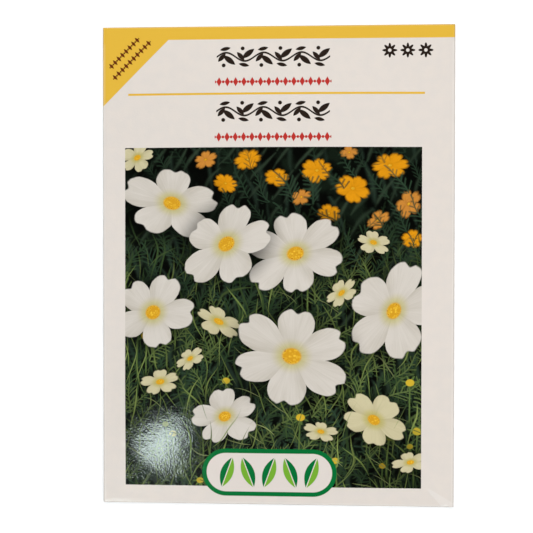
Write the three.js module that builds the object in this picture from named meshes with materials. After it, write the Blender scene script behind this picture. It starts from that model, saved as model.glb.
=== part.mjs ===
import * as THREE from 'three';

// A sealed paper seed packet that lies on its back with its printed front up.
// Millimetres, +Z up. The origin is the middle of the outline, on the surface that the packet lies on.
// +X is the right-hand side of the front, +Y is its top.

// ---------------------------------------------------------------------------------------------
// Driving dimensions
// ---------------------------------------------------------------------------------------------

const PACKET_WIDTH = 83;
const PACKET_HEIGHT = 113;
const PAPER = 0.12; // thickness of the sheet
const GLUE = 0.05; // room between two glued layers of paper
const FILM_PLAY = 0.01; // how far a glue film stays off each layer
const FOLD_AIR = 0.08; // air between the side tab and the front at the side fold

const TAB_WIDTH = 11; // glue tab inside the right-hand side
const TAB_MITRE = 4; // how much each end of the tab slopes in
const TOP_FLAP = 16; // closing flap, glued over the back
const BOTTOM_FLAP = 12;
const FLAP_TAPER = 5; // how much each end of a flap slopes in
const CORNER_NOTCH = 0.9; // the die cuts each corner free over this length
const BACK_SHORTFALL = 1; // the back panel stops this far short of the right-hand fold

const PUFF_RISE = 2.5; // how far the filled front stands up in the middle
const HEAP_RISE = 0.6; // and how much more over the heap of seeds
const HEAP = { x: -8, y: -20, spread: 17 };
const RIM_FLATNESS = 1.5; // power that eases the puffed front into its flat rim
const SLOPE_STEP = 0.01; // the front's slope is measured over twice this step

const SEED_COUNT = 48;
const SEED_LENGTH = { least: 6.6, most: 9.4 };
const SEED_RADIUS = { least: 0.5, most: 0.64 };
const SEED_BOW = 0.9; // how far the middle of a seed stands off the line between its tips
const SEED_BEAK = 0.75; // below 1, the thickest place is nearer one end and the other end is slimmer
const SEED_FULLNESS = 0.7; // below 1, the seed keeps its thickness further towards its tips
const SEED_SIDES = 6;
const SEED_RINGS = 6;
const SPINE_CELLS = 4;
const SEED_PLAY = 0.06; // air between a seed and the paper that it lies on
const SEED_SPACING = 0.35; // least gap between two seeds
const DRIFT = { x: 25, top: 14, bottom: -44 }; // where the seeds lie
const HEAP_SHARE = 0.6; // the share of the seeds that lie near the heap's middle
const DRIFT_SEED = 20814;

// ---------------------------------------------------------------------------------------------
// Levels of the paper layers (middle of each) and the folds between them
// ---------------------------------------------------------------------------------------------

const FLAP_LEVEL = PAPER / 2;
const BACK_LEVEL = FLAP_LEVEL + PAPER + GLUE;
const TAB_LEVEL = BACK_LEVEL + PAPER + GLUE;
const FRONT_LEVEL = TAB_LEVEL + PAPER + FOLD_AIR;

const END_FOLD = makeFold(PACKET_HEIGHT / 2, FLAP_LEVEL);
const LEFT_FOLD = makeFold(PACKET_WIDTH / 2, BACK_LEVEL);
const RIGHT_FOLD = makeFold(PACKET_WIDTH / 2, TAB_LEVEL);

const FRONT_CELLS = { across: 16, along: 22 };
const BACK_CELLS = 4;
const TAB_CELLS = 2;
const FLAP_CELLS = 2;
const FOLD_CELLS = 6; // even, so that a line runs along the outermost edge of the bend

/**
 * A half-round fold from the front down to a lower layer. `line` is the distance from the middle of
 * the front to where the bend starts, so that the outside of the bend reaches `edge`.
 */
function makeFold(edge, lowerLevel) {
  const radius = (FRONT_LEVEL - lowerLevel) / 2;
  return { radius, line: edge - radius - PAPER / 2, arc: Math.PI * radius };
}

/** Carries a point of the flat sheet that lies `distance` past a fold's line round that fold. */
function bend(distance, fold) {
  const angle = THREE.MathUtils.clamp(distance / fold.radius, 0, Math.PI);
  const before = Math.min(distance, 0);
  const depth = Math.max(distance - fold.arc, 0);
  return {
    reach: fold.line + before + fold.radius * Math.sin(angle) - depth,
    drop: fold.radius * (1 - Math.cos(angle)),
    angle,
    depth,
  };
}

/** How far the filled front stands above its flat rim. */
function puff(x, y) {
  const across = Math.max(1 - (x / LEFT_FOLD.line) ** 2, 0);
  const along = Math.max(1 - (y / END_FOLD.line) ** 4, 0);
  const offHeap = Math.hypot(x - HEAP.x, y - HEAP.y) / HEAP.spread;
  return (PUFF_RISE + HEAP_RISE * Math.exp(-(offHeap ** 2) / 2)) * (across * along) ** RIM_FLATNESS;
}

/** Folds the point (u, v) of the flat sheet: where it comes to lie, and which way its outside faces. */
function foldSheet(u, v) {
  const sideU = Math.sign(u) || 1;
  const sideV = Math.sign(v) || 1;
  const sideFold = u > 0 ? RIGHT_FOLD : LEFT_FOLD;
  const acrossBend = bend(Math.abs(u) - sideFold.line, sideFold);
  const alongBend = bend(Math.abs(v) - END_FOLD.line, END_FOLD);

  const flapLength = v > 0 ? TOP_FLAP : BOTTOM_FLAP;
  const taper = 1 - ((FLAP_TAPER / LEFT_FOLD.line) * alongBend.depth) / flapLength;
  const isTab = u > 0;
  const mitre = isTab ? 1 - ((TAB_MITRE / END_FOLD.line) * acrossBend.depth) / TAB_WIDTH : 1;

  // The front's four free corners are drawn out to the outline of the folds beside them.
  const isCorner = Math.abs(u) >= sideFold.line && Math.abs(v) >= END_FOLD.line;
  const x = sideU * (acrossBend.reach * taper + (isCorner ? sideFold.radius : 0));
  const y = sideV * (alongBend.reach * mitre + (isCorner ? END_FOLD.radius : 0));
  const onFront = acrossBend.angle + alongBend.angle === 0;
  const z = FRONT_LEVEL - acrossBend.drop - alongBend.drop + (onFront ? puff(x, y) : 0);

  const slopeX = onFront ? (puff(x + SLOPE_STEP, y) - puff(x - SLOPE_STEP, y)) / (2 * SLOPE_STEP) : 0;
  const slopeY = onFront ? (puff(x, y + SLOPE_STEP) - puff(x, y - SLOPE_STEP)) / (2 * SLOPE_STEP) : 0;
  const outside = new THREE.Vector3(
    sideU * Math.sin(acrossBend.angle) - slopeX,
    sideV * Math.sin(alongBend.angle) - slopeY,
    Math.cos(acrossBend.angle + alongBend.angle),
  );
  return { point: new THREE.Vector3(x, y, z), outside: outside.normalize() };
}

// ---------------------------------------------------------------------------------------------
// The envelope: one sheet of paper, folded
// ---------------------------------------------------------------------------------------------

/** Evenly spaced values from start to end, both included. */
function spread(start, end, cells) {
  return Array.from({ length: cells + 1 }, (_, i) => THREE.MathUtils.lerp(start, end, i / cells));
}

/** A sheet laid out flat as patches of cells, which share the corners where they meet. */
class Sheet {
  constructor() {
    this.corners = new Map();
    this.places = [];
    this.cells = [];
  }

  corner(u, v) {
    const key = `${u.toFixed(4)},${v.toFixed(4)}`;
    if (!this.corners.has(key)) {
      this.corners.set(key, this.places.length);
      this.places.push(foldSheet(u, v));
    }
    return this.corners.get(key);
  }

  /** Adds the cells between the given lines. Both lists rise. */
  addPatch(columns, rows) {
    for (let i = 0; i + 1 < columns.length; i += 1) {
      for (let j = 0; j + 1 < rows.length; j += 1) {
        this.cells.push([
          this.corner(columns[i], rows[j]),
          this.corner(columns[i + 1], rows[j]),
          this.corner(columns[i + 1], rows[j + 1]),
          this.corner(columns[i], rows[j + 1]),
        ]);
      }
    }
  }

  /** The edges of cells that no second cell shares, in the direction that their cell runs. */
  freeEdges() {
    const edges = new Map();
    for (const cell of this.cells) {
      cell.forEach((from, i) => {
        const to = cell[(i + 1) % cell.length];
        if (!edges.delete(`${to},${from}`)) {
          edges.set(`${from},${to}`, [from, to]);
        }
      });
    }
    return [...edges.values()];
  }

  /** A closed solid with the sheet in the middle of its thickness. */
  thicken(thickness) {
    const outer = this.places.map((p) => p.point.clone().addScaledVector(p.outside, thickness / 2));
    const inner = this.places.map((p) => p.point.clone().addScaledVector(p.outside, -thickness / 2));
    const innerStart = outer.length;
    const index = [];
    for (const [a, b, c, d] of this.cells) {
      index.push(a, b, c, a, c, d);
      index.push(...[a, c, b, a, d, c].map((corner) => corner + innerStart));
    }
    for (const [from, to] of this.freeEdges()) {
      index.push(from, from + innerStart, to + innerStart);
      index.push(from, to + innerStart, to);
    }
    const geometry = new THREE.BufferGeometry().setFromPoints([...outer, ...inner]);
    geometry.setIndex(index);
    geometry.computeVertexNormals();
    return geometry;
  }
}

/** Lines across a flap or tab beyond a fold: round the bend, and on to the free edge. */
function linesPastFold(fold, length, cells) {
  const bendEnd = fold.line + fold.arc;
  return [...spread(fold.line, bendEnd, FOLD_CELLS), ...spread(bendEnd, bendEnd + length, cells).slice(1)];
}

/** The same lines on the left or bottom side, where they count down. */
function mirrored(lines) {
  return lines.map((line) => -line).reverse();
}

function envelopeGeometry() {
  // Inside the notches, the front's lines carry on into the parts that fold round it.
  const innerColumns = spread(
    -LEFT_FOLD.line + CORNER_NOTCH,
    RIGHT_FOLD.line - CORNER_NOTCH,
    FRONT_CELLS.across,
  );
  const innerRows = spread(
    -END_FOLD.line + CORNER_NOTCH,
    END_FOLD.line - CORNER_NOTCH,
    FRONT_CELLS.along,
  );
  const frontColumns = [-LEFT_FOLD.line, ...innerColumns, RIGHT_FOLD.line];
  const frontRows = [-END_FOLD.line, ...innerRows, END_FOLD.line];
  const backWidth = LEFT_FOLD.line + RIGHT_FOLD.line - BACK_SHORTFALL;

  const sheet = new Sheet();
  sheet.addPatch(frontColumns, frontRows);
  sheet.addPatch(mirrored(linesPastFold(LEFT_FOLD, backWidth, BACK_CELLS)), innerRows);
  sheet.addPatch(linesPastFold(RIGHT_FOLD, TAB_WIDTH, TAB_CELLS), innerRows);
  sheet.addPatch(innerColumns, linesPastFold(END_FOLD, TOP_FLAP, FLAP_CELLS));
  sheet.addPatch(innerColumns, mirrored(linesPastFold(END_FOLD, BOTTOM_FLAP, FLAP_CELLS)));
  return sheet.thicken(PAPER);
}

// ---------------------------------------------------------------------------------------------
// Glue films
// ---------------------------------------------------------------------------------------------

const FILM = {
  inset: 2, // from the free edge of the tab or flap
  roundness: 0.9, // corner radius, as a share of half the strip's width
  cornerCells: 4,
  side: { width: 6, length: 100 },
  top: { width: 9, length: 68 },
  bottom: { width: 6, length: 68 },
};

/** A thin strip of dried glue between two layers, with rounded ends. */
function filmGeometry(width, length) {
  const half = { x: width / 2, y: length / 2 };
  const round = Math.min(half.x, half.y) * FILM.roundness;
  const outline = new THREE.Shape();
  outline.absarc(half.x - round, half.y - round, round, 0, Math.PI / 2);
  outline.absarc(-half.x + round, half.y - round, round, Math.PI / 2, Math.PI);
  outline.absarc(-half.x + round, -half.y + round, round, Math.PI, 1.5 * Math.PI);
  outline.absarc(half.x - round, -half.y + round, round, 1.5 * Math.PI, 2 * Math.PI);
  return new THREE.ExtrudeGeometry(outline, {
    depth: GLUE - 2 * FILM_PLAY,
    bevelEnabled: false,
    curveSegments: FILM.cornerCells,
  });
}

// ---------------------------------------------------------------------------------------------
// Seeds
// ---------------------------------------------------------------------------------------------

/** Repeatable random numbers from 0 to 1. */
function makeRandom(seed) {
  let state = seed;
  return () => {
    state = (state + 0x6d2b79f5) | 0;
    let mixed = Math.imul(state ^ (state >>> 15), 1 | state);
    mixed = (mixed + Math.imul(mixed ^ (mixed >>> 7), 61 | mixed)) ^ mixed;
    return ((mixed ^ (mixed >>> 14)) >>> 0) / 4294967296;
  };
}

/** A slender seed along X: thickest before the middle, drawn out to a beak, and a little bowed. */
function seedGeometry(length, radius, bow) {
  const profile = spread(0, 1, SEED_RINGS).map((t) => {
    const isTip = t === 0 || t === 1;
    const thickness = isTip ? 0 : Math.sin(Math.PI * t ** SEED_BEAK) ** SEED_FULLNESS;
    return new THREE.Vector2(radius * thickness, length * (t - 0.5));
  });
  const geometry = new THREE.LatheGeometry(profile, SEED_SIDES);
  geometry.rotateZ(-Math.PI / 2);
  const position = geometry.attributes.position;
  for (let i = 0; i < position.count; i += 1) {
    const along = (2 * position.getX(i)) / length;
    position.setY(i, position.getY(i) + bow * (1 - along ** 2));
  }
  geometry.computeVertexNormals();
  return geometry;
}

/** Points along the middle of a seed that lies at (x, y), turned by `turn`. */
function seedSpine({ x, y, turn, length, bow }) {
  return spread(-1, 1, SPINE_CELLS).map((along) => {
    const point = new THREE.Vector2((along * length) / 2, bow * (1 - along ** 2));
    return point.rotateAround(new THREE.Vector2(0, 0), turn).add(new THREE.Vector2(x, y));
  });
}

/** Whether a seed has room under the front and clear of the seeds that are there already. */
function seedFits(seed, placed) {
  const height = 2 * seed.radius + SEED_PLAY;
  const floorLevel = BACK_LEVEL + PAPER / 2;
  const spine = seedSpine(seed);
  const hasRoom = spine.every(({ x, y }) => {
    const ceiling = FRONT_LEVEL - PAPER / 2 + puff(x, y);
    return ceiling - floorLevel > height + SEED_SPACING;
  });
  const isClear = placed.every((other) => {
    const least = seed.radius + other.radius + SEED_SPACING;
    return seedSpine(other).every((q) => distanceToLine(spine, q) > least);
  });
  return hasRoom && isClear && placed.every((other) => !spinesCross(spine, seedSpine(other)));
}

/** The distance from a point to a line of points. */
function distanceToLine(line, point) {
  let nearest = Infinity;
  for (let i = 0; i + 1 < line.length; i += 1) {
    const along = line[i + 1].clone().sub(line[i]);
    const share = THREE.MathUtils.clamp(
      point.clone().sub(line[i]).dot(along) / along.lengthSq(),
      0,
      1,
    );
    nearest = Math.min(nearest, point.distanceTo(line[i].clone().addScaledVector(along, share)));
  }
  return nearest;
}

/** Whether two lines of points cross anywhere. */
function spinesCross(one, two) {
  const turnSide = (a, b, c) => Math.sign((b.x - a.x) * (c.y - a.y) - (b.y - a.y) * (c.x - a.x));
  for (let i = 0; i + 1 < one.length; i += 1) {
    for (let j = 0; j + 1 < two.length; j += 1) {
      const [a, b, c, d] = [one[i], one[i + 1], two[j], two[j + 1]];
      const splitsTwo = turnSide(a, b, c) !== turnSide(a, b, d);
      const splitsOne = turnSide(c, d, a) !== turnSide(c, d, b);
      if (splitsTwo && splitsOne) {
        return true;
      }
    }
  }
  return false;
}

/** Scatters the seeds over the inside of the back panel, more of them near the heap. */
function scatterSeeds() {
  const random = makeRandom(DRIFT_SEED);
  const between = (least, most) => least + (most - least) * random();
  const placed = [];
  while (placed.length < SEED_COUNT) {
    const nearHeap = random() < HEAP_SHARE;
    const seed = {
      x: nearHeap ? HEAP.x + HEAP.spread * (random() + random() - 1) : between(-DRIFT.x, DRIFT.x),
      y: nearHeap ? HEAP.y + HEAP.spread * (random() + random() - 1) : between(DRIFT.bottom, DRIFT.top),
      turn: between(0, 2 * Math.PI),
      length: between(SEED_LENGTH.least, SEED_LENGTH.most),
      radius: between(SEED_RADIUS.least, SEED_RADIUS.most),
      bow: between(0, SEED_BOW),
    };
    if (seedFits(seed, placed)) {
      placed.push(seed);
    }
  }
  return placed;
}

// ---------------------------------------------------------------------------------------------
// The packet
// ---------------------------------------------------------------------------------------------

const PAPER_FINISH = { color: 0xe5dcd2, roughness: 0.35, metalness: 0 };
const GLUE_FINISH = { color: 0xe9dfc4, roughness: 0.5, metalness: 0 };
const SEED_FINISH = { color: 0x3b2a1d, roughness: 0.7, metalness: 0 };

function addPiece(parent, name, geometry, finish) {
  const mesh = new THREE.Mesh(geometry, new THREE.MeshStandardMaterial(finish));
  mesh.name = name;
  parent.add(mesh);
  return mesh;
}

function addGlue(parent) {
  const seamLevel = BACK_LEVEL + PAPER / 2 + FILM_PLAY;
  const flapLevel = FLAP_LEVEL + PAPER / 2 + FILM_PLAY;

  const seamFilm = filmGeometry(FILM.side.width, FILM.side.length);
  const seam = addPiece(parent, 'side_seam_glue', seamFilm, GLUE_FINISH);
  seam.position.set(RIGHT_FOLD.line - TAB_WIDTH + FILM.inset + FILM.side.width / 2, 0, seamLevel);

  for (const end of [
    { name: 'top_flap_glue', sign: 1, film: FILM.top, flap: TOP_FLAP },
    { name: 'bottom_flap_glue', sign: -1, film: FILM.bottom, flap: BOTTOM_FLAP },
  ]) {
    const strip = addPiece(parent, end.name, filmGeometry(end.film.length, end.film.width), GLUE_FINISH);
    const middle = END_FOLD.line - end.flap + FILM.inset + end.film.width / 2;
    strip.position.set(0, end.sign * middle, flapLevel);
  }
}

function addSeeds(parent) {
  scatterSeeds().forEach((seed, i) => {
    const name = `seed_${String(i + 1).padStart(2, '0')}`;
    const mesh = addPiece(parent, name, seedGeometry(seed.length, seed.radius, seed.bow), SEED_FINISH);
    mesh.position.set(seed.x, seed.y, BACK_LEVEL + PAPER / 2 + SEED_PLAY + seed.radius);
    mesh.rotation.z = seed.turn;
  });
}

const packet = new THREE.Group();
addPiece(packet, 'envelope', envelopeGeometry(), PAPER_FINISH);
addGlue(packet);
const contents = new THREE.Group();
addSeeds(contents);
packet.add(contents);

export default packet;
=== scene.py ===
"""Looks of a sealed paper seed packet that lies on its back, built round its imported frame.

Lengths are metres. A name that ends in _mm, and everything printed on the sheet, is in
millimetres, on the flat sheet: +X is the right-hand side of the front, +Y its top.
"""

import logging
import math
from dataclasses import dataclass, field
from enum import Enum
from typing import Callable, Sequence, Union

import bmesh
import bpy
from mathutils import Matrix, Vector, noise


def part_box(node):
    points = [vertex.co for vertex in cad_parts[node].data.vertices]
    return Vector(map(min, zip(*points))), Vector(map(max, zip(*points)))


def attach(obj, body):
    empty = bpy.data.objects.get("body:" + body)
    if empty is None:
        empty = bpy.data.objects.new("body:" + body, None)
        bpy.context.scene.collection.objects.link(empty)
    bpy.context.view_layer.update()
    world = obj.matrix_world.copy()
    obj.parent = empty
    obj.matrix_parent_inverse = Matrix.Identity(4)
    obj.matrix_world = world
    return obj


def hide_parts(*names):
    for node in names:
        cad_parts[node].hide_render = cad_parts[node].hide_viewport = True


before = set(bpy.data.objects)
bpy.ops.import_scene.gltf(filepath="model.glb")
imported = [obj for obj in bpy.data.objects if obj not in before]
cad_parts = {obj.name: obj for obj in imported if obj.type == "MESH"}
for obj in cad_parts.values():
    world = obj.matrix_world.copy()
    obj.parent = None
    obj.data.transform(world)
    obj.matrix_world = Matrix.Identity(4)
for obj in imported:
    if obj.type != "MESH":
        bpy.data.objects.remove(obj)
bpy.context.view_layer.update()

LOG = logging.getLogger("seed_packet")
MM = 0.001
Colour = tuple[float, float, float, float]
Operand = Union["Signal", float, int, tuple]


def shade(red: float, green: float, blue: float) -> Colour:
    """Turns an 8-bit display colour into a linear one.

    Args:
        red: Red level, 0 to 255.
        green: Green level.
        blue: Blue level.

    Returns:
        The linear colour, opaque.
    """

    def linear(level: float) -> float:
        """Turns one level into a linear one."""
        share = level / 255
        return share / 12.92 if share <= 0.04045 else ((share + 0.055) / 1.055) ** 2.4

    return (linear(red), linear(green), linear(blue), 1.0)


def ease(value: float, low: float, high: float) -> float:
    """Rises smoothly from 0 at low to 1 at high."""
    share = min(max((value - low) / (high - low), 0.0), 1.0)
    return share * share * (3 - 2 * share)


# ---------------------------------------------------------------------------------------------
# Writing node trees as formulas
# ---------------------------------------------------------------------------------------------


def operator(operation: str, swapped: bool = False) -> Callable[["Signal", Operand], "Signal"]:
    """Makes a method of Signal that adds one Math node.

    Args:
        operation: The node's operation.
        swapped: Whether the other operand comes first.

    Returns:
        The method.
    """

    def method(signal: "Signal", other: Operand) -> "Signal":
        """Joins the signal and a number, or two signals."""
        return signal.pen.math(operation, *((other, signal) if swapped else (signal, other)))

    return method


@dataclass(frozen=True)
class Signal:
    """A socket's value over the surface, with arithmetic that adds Math nodes."""

    pen: "Pen"
    socket: bpy.types.NodeSocket

    __add__, __radd__ = operator("ADD"), operator("ADD", swapped=True)
    __sub__, __rsub__ = operator("SUBTRACT"), operator("SUBTRACT", swapped=True)
    __mul__, __rmul__ = operator("MULTIPLY"), operator("MULTIPLY", swapped=True)
    __truediv__, __rtruediv__ = operator("DIVIDE"), operator("DIVIDE", swapped=True)
    __pow__, __mod__ = operator("POWER"), operator("FLOORED_MODULO")

    def __abs__(self) -> "Signal":
        """Size without sign."""
        return self.pen.math("ABSOLUTE", self)

    def __neg__(self) -> "Signal":
        """The opposite."""
        return self.pen.math("MULTIPLY", self, -1.0)


class Pen:
    """Writes one node tree. Each call adds a node and gives back what it puts out."""

    ROWS = 12  # nodes in a column of the tree
    NODE_PITCH = (190, -170)

    def __init__(self, tree: bpy.types.NodeTree) -> None:
        """Starts on a tree."""
        self.tree = tree
        self.count = 0

    def node(self, kind: str, **settings: object) -> bpy.types.Node:
        """Adds a node.

        Args:
            kind: The node's type name.
            **settings: Properties to set on it.

        Returns:
            The node.
        """
        added = self.tree.nodes.new(kind)
        for name, value in settings.items():
            setattr(added, name, value)
        places = zip(divmod(self.count, self.ROWS), self.NODE_PITCH)
        added.location = [number * pitch for number, pitch in places]
        self.count += 1
        return added

    def feed(self, socket: bpy.types.NodeSocket, value: Operand) -> None:
        """Links a signal to a socket, or sets the socket to a number, vector or colour.

        Args:
            socket: The socket.
            value: The signal, or the number, vector or colour.
        """
        if isinstance(value, Signal):
            self.tree.links.new(value.socket, socket)
        else:
            socket.default_value = value

    def fed(
        self, kind: str, inputs: dict[Union[int, str], Operand], **settings: object
    ) -> bpy.types.Node:
        """Adds a node and feeds it.

        Args:
            kind: The node's type name.
            inputs: What goes into its inputs, by their numbers or names.
            **settings: Properties to set on it.

        Returns:
            The node.
        """
        added = self.node(kind, **settings)
        for key, value in inputs.items():
            self.feed(added.inputs[key], value)
        return added

    def math(self, operation: str, *operands: Operand, clamp: bool = False) -> Signal:
        """Adds a Math node.

        Args:
            operation: The node's operation.
            *operands: Its inputs.
            clamp: Whether the result is kept from 0 to 1.

        Returns:
            The result.
        """
        inputs = dict(enumerate(operands))
        added = self.fed("ShaderNodeMath", inputs, operation=operation, use_clamp=clamp)
        return Signal(self, added.outputs[0])

    def step(self, value: Operand, low: Operand, high: Operand) -> Signal:
        """Rises smoothly from 0 at low to 1 at high; low may be above high.

        Args:
            value: Where to read the curve.
            low: Where it leaves 0.
            high: Where it reaches 1.

        Returns:
            A share from 0 to 1.
        """
        inputs = {"Value": value, "From Min": low, "From Max": high}
        added = self.fed("ShaderNodeMapRange", inputs, interpolation_type="SMOOTHSTEP")
        return Signal(self, added.outputs["Result"])

    def mix(self, share: Operand, first: Operand, second: Operand, blend: str = "MIX") -> Signal:
        """Mixes two colours.

        Args:
            share: How much of the second.
            first: Colour at share 0.
            second: Colour at share 1.
            blend: The blend type.

        Returns:
            The mixed colour.
        """
        added = self.node("ShaderNodeMix", data_type="RGBA", blend_type=blend)
        colours = [socket for socket in added.inputs if socket.type == "RGBA"]
        self.feed(added.inputs[0], share)
        self.feed(colours[0], first)
        self.feed(colours[1], second)
        return Signal(self, next(s for s in added.outputs if s.type == "RGBA"))

    def pack(self, x: Operand, y: Operand, z: Operand = 0.0) -> Signal:
        """Makes a vector of three numbers."""
        return Signal(self, self.fed("ShaderNodeCombineXYZ", {0: x, 1: y, 2: z}).outputs[0])

    def parts(self, vector: Operand) -> tuple[Signal, Signal, Signal]:
        """Splits a vector into its three numbers."""
        split = self.fed("ShaderNodeSeparateXYZ", {0: vector})
        return tuple(Signal(self, socket) for socket in split.outputs)

    def turned(self, x: Operand, y: Operand, angle: Operand) -> tuple[Signal, Signal]:
        """Reads a point in axes that are turned by an angle.

        Args:
            x: The point's x.
            y: The point's y.
            angle: How far the axes are turned, in radians.

        Returns:
            The point's x and y along the turned axes.
        """
        if isinstance(angle, Signal):
            cosine, sine = self.math("COSINE", angle), self.math("SINE", angle)
        else:
            cosine, sine = math.cos(angle), math.sin(angle)
        return x * cosine + y * sine, y * cosine - x * sine

    def noise(self, place: Operand, scale: float = 1.0, detail: float = 2.0) -> Signal:
        """Soft noise round one half, at so many waves per unit of the place."""
        inputs = {"Vector": place, "Scale": scale, "Detail": detail}
        return Signal(self, self.fed("ShaderNodeTexNoise", inputs).outputs[0])

    def grains(self, place: Operand, scale: float) -> Signal:
        """Distance from the middle of the nearest grain, of so many to a unit of the place."""
        added = self.fed("ShaderNodeTexVoronoi", {"Vector": place, "Scale": scale})
        return Signal(self, added.outputs["Distance"])

    def chance(self, x: Operand, y: Operand) -> tuple[Signal, Signal, Signal]:
        """Three random numbers from 0 to 1 that depend on two numbers.

        Args:
            x: The first number.
            y: The second.

        Returns:
            The random numbers.
        """
        added = self.node("ShaderNodeTexWhiteNoise", noise_dimensions="2D")
        self.feed(added.inputs["Vector"], self.pack(x, y))
        return self.parts(Signal(self, added.outputs["Color"]))

    def sheet_place(self) -> Signal:
        """The place on the flat sheet, in millimetres."""
        return Signal(self, self.node("ShaderNodeUVMap", uv_map=BLANK_MAP).outputs[0])

    def object_place(self) -> Signal:
        """The place on the packet, in millimetres.

        Returns:
            The place.
        """
        source = Signal(self, self.node("ShaderNodeTexCoord").outputs["Object"])
        inputs = {"Vector": source, "Scale": (1 / MM,) * 3}
        return Signal(self, self.fed("ShaderNodeMapping", inputs).outputs[0])

    def bump(self, shader: bpy.types.Node, height: Signal) -> None:
        """Raises a shader's surface by a height in millimetres."""
        added = self.fed("ShaderNodeBump", {"Distance": MM, "Height": height})
        self.feed(shader.inputs["Normal"], Signal(self, added.outputs[0]))

    def attribute(self, name: str, output: str) -> Signal:
        """One output of a mesh attribute."""
        return Signal(self, self.node("ShaderNodeAttribute", attribute_name=name).outputs[output])

    def call(self, group: bpy.types.NodeTree, **inputs: Operand) -> dict[str, Signal]:
        """Places a node group.

        Args:
            group: The group.
            **inputs: Its inputs by name, with _ for a space.

        Returns:
            Its outputs by name.
        """
        labelled = {label.replace("_", " "): value for label, value in inputs.items()}
        added = self.fed("ShaderNodeGroup", labelled, node_tree=group)
        return {socket.name: Signal(self, socket) for socket in added.outputs}


class GroupPen(Pen):
    """Writes a node group with named inputs and outputs."""

    KINDS = {"number": "NodeSocketFloat", "place": "NodeSocketVector", "colour": "NodeSocketColor"}

    def __init__(self, name: str, inputs: dict[str, str], outputs: dict[str, str]) -> None:
        """Makes the group.

        Args:
            name: The group's name.
            inputs: Kind of each input, by name.
            outputs: Kind of each output, by name.
        """
        super().__init__(bpy.data.node_groups.new(name, "ShaderNodeTree"))
        for way, sockets in (("INPUT", inputs), ("OUTPUT", outputs)):
            for label, kind in sockets.items():
                self.tree.interface.new_socket(label, in_out=way, socket_type=self.KINDS[kind])
        self.source = self.node("NodeGroupInput")
        self.sink = self.node("NodeGroupOutput")

    def given(self, label: str) -> Signal:
        """One of the group's inputs."""
        return Signal(self, self.source.outputs[label])

    def give(self, **results: Operand) -> bpy.types.NodeTree:
        """Feeds the group's outputs, and returns the group.

        Args:
            **results: What goes to the outputs, by name, with _ for a space.

        Returns:
            The group.
        """
        for label, value in results.items():
            self.feed(self.sink.inputs[label.replace("_", " ")], value)
        return self.tree


def start_material(name: str, **settings: object) -> tuple[bpy.types.Material, Pen, bpy.types.Node]:
    """Makes a material with a plain Principled shader.

    Args:
        name: The material's name.
        **settings: The shader's inputs that are the same all over, by name, with _ for a space.

    Returns:
        The material, a pen on its tree, and the shader node.
    """
    material = bpy.data.materials.new(name)
    material.use_nodes = True
    shader = material.node_tree.nodes["Principled BSDF"]
    for label, value in settings.items():
        shader.inputs[label.replace("_", " ")].default_value = value
    return material, Pen(material.node_tree), shader


def add_object(name: str, data: bpy.types.ID) -> bpy.types.Object:
    """Adds an object to the scene.

    Args:
        name: The object's name.
        data: Its mesh, light or camera.

    Returns:
        The object.
    """
    added = bpy.data.objects.new(name, data)
    bpy.context.scene.collection.objects.link(added)
    return added


def finish_mesh(
    bm: bmesh.types.BMesh, name: str, materials: Sequence[bpy.types.Material], sharp: float = 40.0
) -> bpy.types.Object:
    """Turns a bmesh into a smooth-shaded piece of the scene.

    Args:
        bm: The mesh, which is freed.
        name: The piece's name.
        materials: Its materials, in the order of the faces' indices.
        sharp: Edges that turn by more than so many degrees stay sharp.

    Returns:
        The piece.
    """
    for face in bm.faces:
        face.smooth = True
    mesh = bpy.data.meshes.new(name)
    bm.to_mesh(mesh)
    bm.free()
    for material in materials:
        mesh.materials.append(material)
    mesh.set_sharp_from_angle(angle=math.radians(sharp))
    return add_object(name, mesh)


# ---------------------------------------------------------------------------------------------
# The sheet of paper and how it is folded
# ---------------------------------------------------------------------------------------------

BLANK_MAP = "Blank"  # UV map that holds the place on the flat sheet, in millimetres
BAKE_MAP = "OFBake"


class Side(Enum):
    """The four sides of the front that the sheet goes on past."""

    LEFT = (-1, 0)
    RIGHT = (1, 0)
    BOTTOM = (0, -1)
    TOP = (0, 1)


@dataclass(frozen=True)
class Fold:
    """A half-round fold from the front down to a lower layer."""

    line: float  # from the middle of the front to where the bend starts
    radius: float  # of the middle of the paper

    @property
    def arc(self) -> float:
        """Length of paper in the bend."""
        return math.pi * self.radius

    def carry(self, distance: float, outset: float) -> tuple[float, float, float]:
        """Carries a point of the flat sheet round the fold.

        Args:
            distance: How far past the fold's line the point is on the flat sheet.
            outset: How far the point stands outside the middle of the paper.

        Returns:
            Its distance from the middle of the front, how far it drops, and the angle turned.
        """
        angle = min(max(distance / self.radius, 0.0), math.pi)
        before, depth = min(distance, 0.0), max(distance - self.arc, 0.0)
        swing = self.radius + outset
        reach = self.line + before + swing * math.sin(angle) - depth
        return reach, swing * (1 - math.cos(angle)), angle


@dataclass(frozen=True)
class Bloom:
    """One printed flower, or bud, as it lies in a layer of the picture."""

    x: float
    y: float
    radius: float
    ink: Colour
    petals: int = 5
    disc: float = 0.2  # radius of the middle, as a share of the radius
    turn: float = 0.0  # degrees
    squash: float = 1.0  # how flat it looks from the side
    lean: float = 0.0  # degrees: the direction that keeps its full width
    blur: float = 0.02
    gap: float = 0.5  # how far the petals' edges fall back between two of them

    def local(self, x: float, y: float) -> tuple[float, float]:
        """Reads a place on the sheet in the flower's own axes, where its petals end at 1.

        Args:
            x: The place across the sheet.
            y: The place up the sheet.

        Returns:
            The place in the flower's axes.
        """
        lean, turn = math.radians(self.lean), math.radians(self.turn)
        point = Matrix.Rotation(-lean, 2) @ Vector((x - self.x, y - self.y))
        point.y /= self.squash
        point = Matrix.Rotation(lean - turn, 2) @ point
        return point.x / self.radius, point.y / self.radius


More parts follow.
